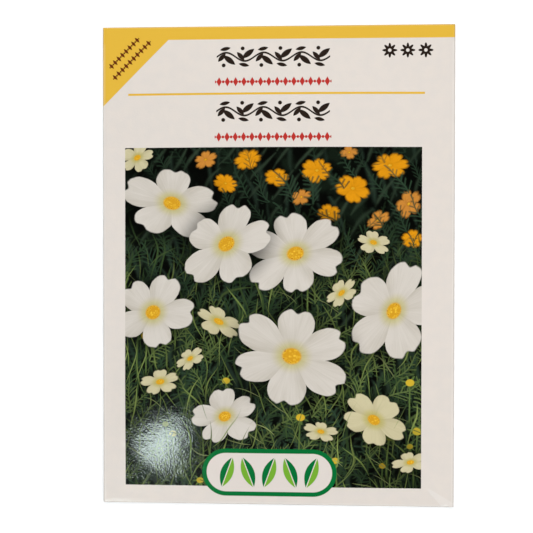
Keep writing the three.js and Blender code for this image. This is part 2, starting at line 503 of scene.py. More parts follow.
WHITE = shade(213, 205, 195)
CREAM = shade(206, 196, 158)
ORANGE = shade(226, 150, 20)
AMBER = shade(205, 135, 55)


@dataclass(frozen=True)
class BloomLayer:
    """Flowers that don't cross each other, so that each place on the sheet has one at most."""

    name: str
    blooms: tuple[Bloom, ...]

    def nearest(self, x: float, y: float) -> Bloom:
        """The flower whose outline is nearest to a place."""
        return min(self.blooms, key=lambda bloom: math.hypot(*bloom.local(x, y)))

    def write(self, bm: bmesh.types.BMesh) -> None:
        """Writes each corner's place in its flower's own axes, and the flower's form and ink.

        Args:
            bm: The flat sheet.
        """
        blank = bm.loops.layers.uv[BLANK_MAP]
        local = bm.loops.layers.uv.new(self.name)
        form = bm.loops.layers.float_color.new(f"{self.name} Form")
        ink = bm.loops.layers.float_color.new(f"{self.name} Ink")
        for face in bm.faces:
            bloom = self.nearest(*(face.calc_center_median().xy / MM))
            seed = self.blooms.index(bloom) / len(self.blooms)
            for loop in face.loops:
                loop[local].uv = bloom.local(*loop[blank].uv)
                loop[form] = (bloom.petals / 10, seed, bloom.disc, bloom.blur)
                loop[ink] = (*bloom.ink[:3], bloom.gap)


FAR_BLOOMS = BloomLayer("Far Blooms", (
    Bloom(9.4, 22.4, 3.8, ORANGE, 6, 0.1, 20, 0.8, 10, 0.13, 0.3),
    Bloom(17.8, 18.2, 4.3, ORANGE, 5, 0.1, 50, 0.75, -15, 0.12, 0.3),
    Bloom(26.4, 23.6, 4.4, ORANGE, 6, 0.1, 5, 0.7, 5, 0.14, 0.3),
    Bloom(30.8, 14.6, 3.4, AMBER, 5, 0.1, 40, 0.8, 60, 0.16, 0.4),
    Bloom(0.0, 20.8, 3.0, ORANGE, 5, 0.1, 0, 0.7, 0, 0.18, 0.3),
    Bloom(23.6, 10.8, 2.9, AMBER, 4, 0.1, 15, 0.7, 40, 0.16, 0.4),
    Bloom(-6.8, 25.0, 3.4, ORANGE, 6, 0.1, 0, 0.7, 20, 0.18, 0.3),
    Bloom(12.2, 12.4, 2.8, ORANGE, 5, 0.1, 33, 0.8, 0, 0.18, 0.3),
    Bloom(31.6, 6.4, 2.7, ORANGE, 5, 0.1, 12, 0.8, 0, 0.18, 0.3),
    Bloom(16.9, 26.6, 2.0, AMBER, 4, 0.1, 12, 0.8, 0, 0.2, 0.4),
    Bloom(-16.8, 25.0, 2.8, AMBER, 5, 0.1, 25, 0.7, 20, 0.16, 0.4),
    Bloom(-12.0, 19.4, 2.9, ORANGE, 6, 0.1, 5, 0.75, -20, 0.15, 0.3),
    Bloom(5.8, 16.2, 2.3, AMBER, 5, 0.1, 15, 0.8, 30, 0.18, 0.4),
))
MIDDLE_BLOOMS = BloomLayer("Middle Blooms", (
    Bloom(-24.8, 14.8, 12.4, WHITE, 5, 0.17, 14, 0.74, -12, 0.02, 0.42),
    Bloom(4.4, 3.0, 12.6, WHITE, 6, 0.16, 40, 0.8, 16, 0.02, 0.4),
    Bloom(-29.4, -11.0, 10.2, WHITE, 5, 0.18, 65, 0.9, 30, 0.02, 0.42),
    Bloom(27.4, -10.4, 12.6, WHITE, 5, 0.16, 5, 0.8, 62, 0.02, 0.4),
    Bloom(-12.2, -35.4, 8.8, WHITE, 5, 0.17, 30, 0.8, 20, 0.02, 0.42),
    Bloom(22.8, -36.0, 8.4, CREAM, 5, 0.18, 50, 0.75, -30, 0.025, 0.42),
    Bloom(-27.6, -27.4, 5.2, CREAM, 5, 0.2, 25, 0.62, 12, 0.05),
    Bloom(-13.6, -13.0, 6.2, CREAM, 5, 0.2, 12, 0.55, -25, 0.04),
    Bloom(15.2, -6.2, 4.6, CREAM, 5, 0.2, 50, 0.6, 40, 0.05),
    Bloom(31.4, -46.0, 4.4, CREAM, 5, 0.2, 40, 0.6, 10, 0.05),
    Bloom(22.6, 5.6, 4.2, CREAM, 5, 0.2, 20, 0.65, -15, 0.04),
    Bloom(-20.4, -21.8, 3.8, CREAM, 5, 0.2, 55, 0.6, 35, 0.05),
    Bloom(10.4, -38.8, 4.2, CREAM, 5, 0.2, 10, 0.6, -10, 0.05),
))
NEAR_BLOOMS = BloomLayer("Near Blooms", (
    Bloom(-11.8, 5.2, 12.0, WHITE, 5, 0.17, 80, 0.8, 35, 0.015, 0.42),
    Bloom(3.6, -21.0, 14.6, WHITE, 6, 0.155, 22, 0.84, -8, 0.015, 0.4),
    Bloom(-33.2, 25.6, 4.8, CREAM, 5, 0.18, 10, 0.7, 30, 0.03),
))
BLOOM_LAYERS = (FAR_BLOOMS, MIDDLE_BLOOMS, NEAR_BLOOMS)


@dataclass
class Envelope:
    """The envelope: one sheet of paper, folded at four sides and glued at the back."""

    # Where the parts of the sheet lie in the bake map: u and v at the fold, and how much of the map
    # a metre of x and of y takes.
    FRONT_STRIP = (0.362, 0.5, 8.66, 8.72)
    STRIPS = {
        Side.LEFT: (0.99, 0.2, 3.1, 3.3),
        Side.RIGHT: (0.74, 0.6, 3.1, 3.3),
        Side.TOP: (0.885, 0.69, 2.2, 3.3),
        Side.BOTTOM: (0.885, 0.53, 2.2, -3.3),
    }
    INSIDE_STRIP = (0.873, 0.88, 0.8, 1.2)
    INSIDE_MIDDLE = -0.035  # x of the raw side's middle on the flat sheet
    EDGE_SPREAD = 1.04  # gives the cut edges a width in the map

    paper: float = 0.12 * MM
    glue_room: float = 0.05 * MM
    fold_air: float = 0.08 * MM
    tab: float = 11 * MM
    tab_mitre: float = 4 * MM
    top_flap: float = 16 * MM
    bottom_flap: float = 12 * MM
    flap_taper: float = 5 * MM
    back_shortfall: float = 1 * MM
    cell: float = 0.9 * MM  # also the width of the ear at each corner
    ear: float = 0.27 * MM  # how far an ear goes on past the flap's fold
    slit: float = 0.05 * MM  # between an ear and the flap's bend
    bend_cells: int = 8
    puff_rise: float = 2.5 * MM
    heap_rise: float = 0.6 * MM
    heap: tuple[float, float] = (-8 * MM, -20 * MM)
    heap_spread: float = 17 * MM
    rim_flatness: float = 1.5
    wave_rise: float = 0.07 * MM
    wave_length: float = 17 * MM
    wave_level: float = 0.3 * MM  # where the waves' noise is cut
    calm_rim: float = 6 * MM  # the waves and the swell fade out over it
    score_rise: float = 0.03 * MM  # a pressed line, one cell from the side folds
    score_spread: float = 0.5 * MM
    crease: tuple[Vector, Vector] = (Vector((34.8, -51.7)) * MM, Vector((41.4, -56.5)) * MM)
    crease_rise: float = 0.2 * MM
    crease_spread: float = 0.8 * MM
    crease_start: tuple[float, float] = (-4 * MM, 1 * MM)  # where it fades in
    swell_rise: float = 0.62 * MM  # a low swell near the lower left corner
    swell_middle: Vector = Vector((-26.9, -30.2)) * MM
    swell_radii: tuple[float, float] = (16.4 * MM, 24 * MM)
    swell_turn: float = 0.581  # radians
    front: float = field(init=False)
    folds: dict[Side, Fold] = field(init=False)

    def __post_init__(self) -> None:
        """Stacks the layers of paper, and fits the folds to the frame's outline."""
        low, high = (Vector(corner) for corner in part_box("envelope"))
        flap_level = self.paper / 2
        back_level = flap_level + self.paper + self.glue_room
        tab_level = back_level + self.paper + self.glue_room
        self.front = tab_level + self.paper + self.fold_air
        edges = {Side.LEFT: -low.x, Side.RIGHT: high.x, Side.BOTTOM: -low.y, Side.TOP: high.y}
        levels = {Side.LEFT: back_level, Side.RIGHT: tab_level}
        self.folds = {}
        for side, edge in edges.items():
            radius = (self.front - levels.get(side, flap_level)) / 2
            self.folds[side] = Fold(edge - radius - self.paper / 2, radius)

    def puff(self, x: float, y: float) -> float:
        """How far the filled front stands above its flat rim.

        Args:
            x: The place across the front.
            y: The place up the front.

        Returns:
            The height.
        """
        across = max(1 - (x / self.folds[Side.LEFT].line) ** 2, 0.0)
        along = max(1 - (y / self.folds[Side.TOP].line) ** 4, 0.0)
        off_heap = math.hypot(x - self.heap[0], y - self.heap[1]) / self.heap_spread
        rise = self.puff_rise + self.heap_rise * math.exp(-(off_heap**2) / 2)
        return rise * (across * along) ** self.rim_flatness

    def handling(self, x: float, y: float) -> float:
        """Soft waves and a swell, and the creases that handling has left in the front.

        Args:
            x: The place across the front.
            y: The place up the front.

        Returns:
            The height.
        """
        place = Vector((x, y))
        from_side = self.folds[Side.LEFT].line - abs(x)
        inner = ease(min(from_side, self.folds[Side.TOP].line - abs(y)), 0.0, self.calm_rim)
        waves = self.wave_rise * noise.noise(Vector((x, y, self.wave_level)) / self.wave_length)
        score = self.score_rise * math.exp(-(((from_side - self.cell) / self.score_spread) ** 2))
        start, end = self.crease
        heading = (end - start).normalized()
        run, off = (place - start).dot(heading), (place - start).cross(heading)
        crease = self.crease_rise * math.exp(-((off / self.crease_spread) ** 2))
        aside = Matrix.Rotation(-self.swell_turn, 2) @ (place - self.swell_middle)
        across, along = (distance / radius for distance, radius in zip(aside, self.swell_radii))
        swell = self.swell_rise * max(1 - across**2 - along**2, 0.0) ** 2
        return (waves + swell) * inner + score + crease * ease(run, *self.crease_start)

    def lengths(self, side: Side) -> tuple[float, int]:
        """How much of the sheet lies past a fold, and in how many cells.

        Args:
            side: The fold's side.

        Returns:
            The length past the bend, and the number of cells.
        """
        width = self.folds[Side.LEFT].line + self.folds[Side.RIGHT].line - self.back_shortfall
        return {
            Side.LEFT: (width, 30),
            Side.RIGHT: (self.tab, 4),
            Side.BOTTOM: (self.bottom_flap, 5),
            Side.TOP: (self.top_flap, 6),
        }[side]

    def flat_sheet(self) -> bmesh.types.BMesh:
        """The die-cut sheet before it is folded.

        Returns:
            A flat mesh with the printed side up, and a UV map of where each corner is.
        """
        bm = bmesh.new()
        left, right = self.folds[Side.LEFT].line, self.folds[Side.RIGHT].line
        bottom, top = self.folds[Side.BOTTOM].line, self.folds[Side.TOP].line
        size = Vector((left + right, bottom + top, 1))
        columns, rows = round(size.x / self.cell), round(size.y / self.cell)
        bmesh.ops.create_grid(bm, x_segments=columns, y_segments=rows, size=0.5)
        bmesh.ops.scale(bm, vec=size, verts=bm.verts)
        bmesh.ops.translate(bm, vec=((right - left) / 2, (top - bottom) / 2, 0), verts=bm.verts)
        for side in (Side.BOTTOM, Side.TOP):
            self.add_ears(bm, side)
        for side in Side:
            self.extend(bm, side)
        blank = bm.loops.layers.uv.new(BLANK_MAP)
        for face in bm.faces:
            for loop in face.loops:
                loop[blank].uv = loop.vert.co.xy / MM
        return bm

    def add_ears(self, bm: bmesh.types.BMesh, side: Side) -> None:
        """Lets the front go on flat at both ends of a flap's fold, out to the packet's corners.

        Args:
            bm: The flat sheet so far.
            side: The flap's side.
        """
        fold, sign = self.folds[side], side.value[1]
        lines = (self.folds[Side.LEFT].line, self.folds[Side.RIGHT].line)
        edges = [
            edge for edge in bm.edges
            if all(abs(sign * v.co.y - fold.line) < 1e-7 for v in edge.verts)
            and any(abs(abs(v.co.x) - lines[v.co.x > 0]) < 1e-7 for v in edge.verts)
        ]
        made = bmesh.ops.extrude_edge_only(bm, edges=edges)["geom"]
        for vert in (item for item in made if isinstance(item, bmesh.types.BMVert)):
            vert.co.y += sign * self.ear
            if abs(vert.co.x) < lines[vert.co.x > 0] - self.cell / 2:
                vert.co.x += math.copysign(self.slit, vert.co.x)

    def extend(self, bm: bmesh.types.BMesh, side: Side) -> None:
        """Lets the sheet go on past one side of the front; the ears go on round the bend only.

        Args:
            bm: The flat sheet so far.
            side: The side.
        """
        fold = self.folds[side]
        axis = 0 if side.value[0] else 1
        sign = side.value[axis]
        clear = (self.folds[Side.LEFT].line, self.folds[Side.TOP].line)[1 - axis] + 1e-7
        edges = [
            edge for edge in bm.edges
            if edge.is_boundary
            and all(abs(sign * v.co[axis] - fold.line) < 1e-7 for v in edge.verts)
            and all(abs(v.co[1 - axis]) < clear + (0 if axis else self.ear) for v in edge.verts)
        ]
        length, cells = self.lengths(side)
        strides = [fold.arc / self.bend_cells] * self.bend_cells + [length / cells] * cells
        for number, stride in enumerate(strides):
            if number == self.bend_cells:
                edges = [e for e in edges if all(abs(v.co[1 - axis]) < clear for v in e.verts)]
            made = bmesh.ops.extrude_edge_only(bm, edges=edges)["geom"]
            edges = [item for item in made if isinstance(item, bmesh.types.BMEdge)]
            verts = [item for item in made if isinstance(item, bmesh.types.BMVert)]
            move = Vector((0, 0, 0))
            move[axis] = sign * stride
            bmesh.ops.translate(bm, vec=move, verts=verts)

    def fold_point(self, flat: Vector) -> Vector:
        """Where a point of the sheet's printed side lies once the packet is folded.

        Args:
            flat: The point on the flat sheet.

        Returns:
            The point on the outside of the packet.
        """
        side_x = Side.RIGHT if flat.x > 0 else Side.LEFT
        side_y = Side.TOP if flat.y > 0 else Side.BOTTOM
        across, along = self.folds[side_x], self.folds[side_y]
        past_x, past_y = abs(flat.x) - across.line, abs(flat.y) - along.line
        outset = self.paper / 2
        reach_x, drop_x, turned_x = across.carry(past_x, outset)
        reach_y, drop_y, turned_y = along.carry(past_y, outset)
        if past_x > self.slit / 2 - self.cell and past_y > 1e-7:  # an ear of the front
            reach_y, drop_y, turned_y = along.line + past_y, 0.0, 0.0
        depth_x, depth_y = max(past_x - across.arc, 0.0), max(past_y - along.arc, 0.0)
        flap = self.top_flap if side_y is Side.TOP else self.bottom_flap
        reach_x *= 1 - self.flap_taper / across.line * depth_y / flap
        if side_x is Side.RIGHT:
            reach_y *= 1 - self.tab_mitre / along.line * depth_x / self.tab
        x, y = side_x.value[0] * reach_x, side_y.value[1] * reach_y
        z = self.front + outset - drop_x - drop_y
        if turned_x + turned_y == 0:
            z += self.rise(x, y)
        return Vector((x, y, z))

    def rise(self, x: float, y: float) -> float:
        """How far the front stands above its flat rim."""
        return self.puff(x, y) + self.handling(x, y)

    def build(self, stock: Sequence[bpy.types.Material]) -> bpy.types.Object:
        """Builds the folded sheet with its thickness.

        Args:
            stock: The materials of the front, of the other printed parts and of the raw paper.

        Returns:
            The piece.
        """
        bm = self.flat_sheet()
        for layer in BLOOM_LAYERS:
            layer.write(bm)
        self.lay_out_bake(bm)
        for face in bm.faces:
            middle = face.calc_center_median()
            past = [
                middle.dot(Vector((*side.value, 0))) - fold.line - fold.arc / 2
                for side, fold in self.folds.items()
            ]
            face.material_index = 1 if max(past) > 0 else 0
        for vert in bm.verts:
            vert.co = self.fold_point(vert.co)
        bmesh.ops.recalc_face_normals(bm, faces=bm.faces)
        printed, outside = set(bm.faces), set(bm.verts)
        bmesh.ops.solidify(bm, geom=bm.faces[:], thickness=self.paper)
        self.lay_out_inside(bm, printed, outside)
        return finish_mesh(bm, "packet_envelope", stock)

    def lay_out_bake(self, bm: bmesh.types.BMesh) -> None:
        """Gives the front most of the bake map, and the other printed parts a strip of it.

        Args:
            bm: The flat sheet.
        """
        bm.loops.layers.uv.new(BAKE_MAP)
        bake, blank = bm.loops.layers.uv[BAKE_MAP], bm.loops.layers.uv[BLANK_MAP]
        for face in bm.faces:
            middle = face.calc_center_median().xy
            past = (s for s, fold in self.folds.items() if middle.dot(Vector(s.value)) > fold.line)
            side = next(past, None)
            start = Vector(side.value) * self.folds[side].line if side else Vector((0, 0))
            u, v, wide, high = self.STRIPS[side] if side else self.FRONT_STRIP
            for loop in face.loops:
                x, y = loop[blank].uv * MM - start
                loop[bake].uv = (u + x * wide, v + y * high)

    def lay_out_inside(
        self, bm: bmesh.types.BMesh, printed: set[bmesh.types.BMFace],
        outside: set[bmesh.types.BMVert],
    ) -> None:
        """Gives the raw paper its material and a small corner of the bake map.

        Args:
            bm: The folded sheet with its thickness.
            printed: The faces of its printed side.
            outside: The points of its printed side.
        """
        bake, blank = bm.loops.layers.uv[BAKE_MAP], bm.loops.layers.uv[BLANK_MAP]
        u, v, wide, high = self.INSIDE_STRIP
        for face in (face for face in bm.faces if face not in printed):
            face.material_index = 2
            for loop in face.loops:
                x, y = loop[blank].uv * MM
                spread = self.EDGE_SPREAD if loop.vert in outside else 1.0
                x = x - self.INSIDE_MIDDLE
                loop[bake].uv = (u + x * wide * spread, v + y * high * spread)


# ---------------------------------------------------------------------------------------------
# Node groups that the finishes share
# ---------------------------------------------------------------------------------------------


def petalled_bloom() -> bpy.types.NodeTree:
    """A flower seen in its own axes, where its petals end at 1.

    Returns:
        A group that puts out the flower's colour, its mask and its shade on what lies behind.
    """
    pen = GroupPen(
        "Petalled Bloom",
        {"X": "number", "Y": "number", "Petals": "number", "Seed": "number", "Disc": "number",
         "Blur": "number", "Gap": "number", "Ink": "colour"},
        {"Colour": "colour", "Mask": "number", "Shade": "number"},
    )
    petals, seed, disc, blur = (pen.given(label) for label in ("Petals", "Seed", "Disc", "Blur"))
    x, y = pen.given("X"), pen.given("Y")
    reach = pen.math("SQRT", x * x + y * y)
    sector = math.tau / petals
    angle = pen.math("ARCTAN2", y, x)
    index = pen.math("ROUND", angle / sector)
    across = (angle - index * sector) / sector * 2
    length, bend, tone = pen.chance(index % petals, seed)

    bent = across + (bend - 0.5) * 0.35 * (1 - across * across)
    off_middle = abs(bent)
    ruffle = pen.noise(pen.pack(angle * 2.3, seed * 0.7, reach * 1.4), 1.7, 1.5) - 0.5
    notch = pen.step(off_middle, 0.26, 0.0) * 0.085
    outline = (1 - length * 0.14) * (1 - pen.given("Gap") * off_middle**3.2 - notch) + ruffle * 0.09
    mask = pen.step(reach, outline + blur, outline - blur)

    veins = pen.noise(pen.pack(bent * 7.0, reach * 0.9, index + seed * 0.13), 2.2, 3.0) - 0.5
    tucked = pen.step(bent, 0.25, 1.0) * pen.step(reach, 0.15, 0.5)
    cupped = pen.step(reach, 0.62, 0.2)
    folds = pen.noise(pen.pack(bent * 1.4, reach * 1.3, index * 3.1 + seed * 0.31), 1.3, 1.0) - 0.5
    dim = tucked * 0.26 + cupped * 0.1 + tone * 0.1 + veins * 0.4 + folds * 0.34
    shaded = pen.mix(0.86, pen.given("Ink"), shade(168, 160, 132), "MULTIPLY")
    petal = pen.mix(pen.math("MULTIPLY", dim, 1.0, clamp=True), pen.given("Ink"), shaded)
    throat = pen.step(reach, disc * 2.4, disc * 0.9)
    petal = pen.mix(throat * 0.8, petal, shade(236, 232, 150), "MULTIPLY")

    in_disc = pen.step(reach, disc + 0.025, disc - 0.025)
    grain = pen.grains(pen.pack(x, y, seed), 19.0)
    rim = pen.step(reach, disc * 0.3, disc * 0.8)
    heart = pen.mix(pen.step(grain, 0.1, 0.6), shade(246, 204, 62), shade(214, 156, 36))
    heart = pen.mix(rim * pen.step(grain, 0.34, 0.2) * 0.9, heart, shade(176, 88, 24))
    colour = pen.mix(in_disc, petal, heart)
    return pen.give(Colour=colour, Mask=mask, Shade=pen.step(reach, 1.28, 0.62))


LEAF_INPUTS = ("X", "Y", "Heading", "Pitch", "Length", "Width", "Blur", "Cover", "Seed")


def leaf_cells(
    pen: GroupPen, stir: float, waves: float, sway: float
) -> tuple[Signal, Signal, Signal, Signal, tuple[Signal, Signal, Signal]]:
    """Cuts the sheet into a swaying grid of long narrow cells, for one leaf each.

    Args:
        pen: The pen of the leaf's group.
        stir: How far the seed moves the sway.
        waves: Waves of the sway per millimetre.
        sway: How far it moves the cells, in millimetres.

    Returns:
        The place across the grid, the cell's column and row, the place along the leaf from -1 to 1,
        and three random numbers of the cell.
    """
    pitch, length, seed = (pen.given(label) for label in ("Pitch", "Length", "Seed"))
    x, y = pen.given("X"), pen.given("Y")
    shift = pen.noise(pen.pack(x, y, seed * stir), waves, 1.0) - 0.5
    x, y = pen.turned(x, y, pen.given("Heading"))
    x = x + shift * sway
    column = pen.math("FLOOR", x / pitch)
    slide, *_ = pen.chance(column, seed)
    row = pen.math("FLOOR", y / length + slide)
    drawn = pen.chance(column + seed * 7.0, row)
    return x, column, row, (y / length + slide - row) * 2 - 1, drawn


def blades() -> bpy.types.NodeTree:
    """Thin bent blades, one to a cell of a grid of long narrow cells.

    Returns:
        A group that puts out the blades' mask, and a tone that differs from blade to blade.
    """
    outputs = {"Mask": "number", "Tone": "number"}
    pen = GroupPen("Blades", dict.fromkeys(LEAF_INPUTS, "number"), outputs)
    pitch = pen.given("Pitch")
    x, column, _, along, (lean, bow, pick) = leaf_cells(pen, 3.0, 0.06, 9.0)
    across = (x / pitch - column - 0.5) + (lean - 0.5) * 0.3 * along
    across = across + (bow - 0.5) * 0.7 * (along * along - 0.4)
    body = 1 - along * along
    half = pen.given("Width") * 0.5 * body
    blur = pen.given("Blur")
    mask = pen.step(abs(across) * pitch - half, blur, -blur) * pen.step(body, 0.0, 0.12)
    shown = pen.math("LESS_THAN", pick, pen.given("Cover"))
    return pen.give(Mask=mask * shown, Tone=pick / pen.given("Cover"))


def fronds() -> bpy.types.NodeTree:
    """Feathery leaves: a thin stalk with thread-like leaflets on both sides.

    Returns:
        A group that puts out the mask of the leaves, and a tone that differs from leaf to leaf.
    """
    outputs = {"Mask": "number", "Tone": "number"}
    pen = GroupPen("Fronds", dict.fromkeys(LEAF_INPUTS, "number"), outputs)
    pitch, length, seed = pen.given("Pitch"), pen.given("Length"), pen.given("Seed")
    width, blur = pen.given("Width"), pen.given("Blur")
    x, column, row, along, (lean, bow, pick) = leaf_cells(pen, 5.0, 0.09, 7.0)
    across = (x / pitch - column - 0.5) + (bow - 0.5) * 0.35 * (along * along - 0.4)
    across = across * pitch
    off = abs(across)
    body = 1 - along * along
    stalk = pen.step(off - width * 0.5, blur, -blur) * pen.step(body, 0.0, 0.15)
    side = pen.math("SIGN", across)
    gap = 1.0 + lean * 0.5
    run = (along * length * 0.5 + off * (-0.7 - bow * 0.7) + side * 0.31 + off * off * 0.14) / gap
    leaflet_number = pen.math("FLOOR", run)
    reach_share, slip, _ = pen.chance(leaflet_number + side * 40.0 + column * 3.0, row + seed)
    run = (run - leaflet_number - 0.5 + (slip - 0.5) * 0.4) * gap
    leaflet = pen.step(abs(run) * 0.7 - width * 0.36, blur, -blur)
    taper = pen.step(body, 0.0, 0.4) * pen.step(along, 1.0, 0.1)
    reach = pitch * (0.2 + reach_share * 0.34) * taper
    feather = leaflet * pen.step(off - reach, 0.15, -0.35)
    shown = pen.math("LESS_THAN", pick, pen.given("Cover"))
    mask = pen.math("MAXIMUM", stalk, feather)
    return pen.give(Mask=mask * shown, Tone=pick / pen.given("Cover"))


def buds() -> bpy.types.NodeTree:
    """Round flower buds in their star of sepals, each on a thin stem.

    Returns:
        A group that puts out the buds' mask, the mask of their green parts, and a tone.
    """
    pen = GroupPen(
        "Buds",
        dict.fromkeys(("X", "Y", "Pitch", "Length", "Cover", "Seed"), "number"),
        dict.fromkeys(("Bud", "Green", "Tone"), "number"),
    )
    pitch, length, seed = pen.given("Pitch"), pen.given("Length"), pen.given("Seed")
    x, y = pen.given("X"), pen.given("Y")
    column = pen.math("FLOOR", x / pitch + seed)
    slide, *_ = pen.chance(column, seed)
    row = pen.math("FLOOR", y / length + slide)
    size, bow, pick = pen.chance(column + seed * 7.0, row)
    shown = pen.math("LESS_THAN", pick, pen.given("Cover"))
    across = (x / pitch + seed - column - 0.5) * pitch
    along = (y / length + slide - row - 0.78) * length
    radius = size * 0.5 + 0.75
    reach = pen.math("SQRT", across * across + along * along * 1.5)
    angle = pen.math("ARCTAN2", along * 1.2, across)
    bud = pen.step(reach, radius + 0.1, radius - 0.14)
    rays = pen.math("ABSOLUTE", pen.math("COSINE", angle * 3.5 + bow * 6.0)) ** 7.0
    star = rays * 1.15 + 1.02
    sepals = pen.step(reach, radius * star + 0.08, radius * star - 0.1)
    depth = -along / length
    curve = across - (bow - 0.5) * pitch * 0.9 * depth * (1.1 - depth)
    stem = pen.step(abs(curve), 0.24, 0.1) * pen.step(depth, 0.0, 0.02) * pen.step(depth, 0.74, 0.5)
    green = pen.math("MAXIMUM", sepals, stem)
    return pen.give(Bud=bud * shown, Green=green * shown, Tone=pick / pen.given("Cover"))


def almond() -> bpy.types.NodeTree:
    """A leaf outline, pointed at both ends.

    Returns:
        A group that puts out the leaf's mask, for its half length and half width.
    """
    pen = GroupPen(
        "Almond",
        dict.fromkeys(("X", "Y", "Half Length", "Half Width"), "number"),
        {"Mask": "number"},
    )
    share = pen.given("X") / pen.given("Half Length")
    width = (1 - share * share) * pen.given("Half Width")
    return pen.give(Mask=pen.step(width - abs(pen.given("Y")), -0.03, 0.05))


def tooth() -> bpy.types.NodeTree:
    """The fine grain of coated paper.

    Returns:
        A group that puts out a height round 0, in millimetres, from a place in millimetres.
    """
    pen = GroupPen("Paper Tooth", {"Place": "place", "Depth": "number"}, {"Height": "number"})
    fine = pen.noise(pen.given("Place"), 2.5, 0.6) - 0.5
    broad = pen.noise(pen.given("Place"), 0.5, 1.0) - 0.5
    return pen.give(Height=(fine + broad) * pen.given("Depth"))


# ---------------------------------------------------------------------------------------------
# Finishes
# ---------------------------------------------------------------------------------------------


@dataclass(frozen=True)
class Coat:
    """One coat of thin leaves in the picture; lengths are in millimetres."""

    ink: Colour
    heading: float  # degrees from upright
    pitch: float
    length: float
    width: float
    blur: float
    cover: float  # share of the places that hold a leaf
    seed: float
    top: float = 60.0  # the coat fades out above this height
    strength: float = 1.0


FAR_BLADES = (
    Coat(shade(44, 60, 48), 12, 2.6, 11.0, 0.9, 0.5, 0.6, 1.3, strength=0.85),
    Coat(shade(52, 66, 50), -34, 2.3, 9.0, 0.7, 0.4, 0.6, 2.1, strength=0.85),
)
BACK_FRONDS = (
    Coat(shade(50, 72, 52), 30, 4.6, 9.0, 0.3, 0.2, 0.7, 3.2, 24.0),
    Coat(shade(50, 72, 46), -22, 5.0, 10.0, 0.3, 0.18, 0.6, 4.7, 10.0),
    Coat(shade(50, 70, 42), 68, 4.2, 8.0, 0.28, 0.16, 0.5, 5.9, 4.0),
)
BACK_BLADES = (
    Coat(shade(60, 80, 44), 4, 2.0, 13.0, 0.42, 0.12, 0.5, 6.1, 6.0),
    Coat(shade(76, 94, 52), -52, 2.2, 9.0, 0.36, 0.12, 0.45, 7.4, 2.0),
)
NEAR_FRONDS = (
    Coat(shade(96, 114, 62), 14, 4.4, 9.0, 0.26, 0.12, 0.5, 8.6, 0.0),
    Coat(shade(108, 126, 70), -44, 4.0, 8.0, 0.24, 0.12, 0.45, 9.2, -4.0),
)
NEAR_BLADES = (
    Coat(shade(120, 138, 72), 24, 2.4, 9.0, 0.3, 0.09, 0.45, 10.3, -2.0),
    Coat(shade(136, 152, 82), -16, 2.8, 11.0, 0.28, 0.09, 0.4, 11.8, -4.0),
    Coat(shade(160, 170, 108), 62, 3.2, 7.0, 0.2, 0.08, 0.22, 12.4, -8.0),
)
FRONT_BLADES = (
    Coat(shade(104, 124, 64), 10, 5.0, 16.0, 0.3, 0.08, 0.14, 13.9, -34.0),
    Coat(shade(130, 148, 84), -28, 4.4, 12.0, 0.26, 0.08, 0.14, 14.6, -38.0),
)


class Inks:
    """The inks of the sheet, as linear colours."""

    PAPER = shade(226, 216, 207)
    PAPER_MOTTLE = shade(223, 214, 206)
    YELLOW = shade(227, 181, 64)
    BLACK = shade(42, 32, 26)
    RED = shade(186, 52, 46)
    BROWN = shade(104, 48, 20)
    GREEN = shade(8, 110, 52)
    LIGHT_GREEN = shade(118, 172, 52)
    GREY = shade(150, 142, 134)
    BLUE = shade(86, 128, 150)


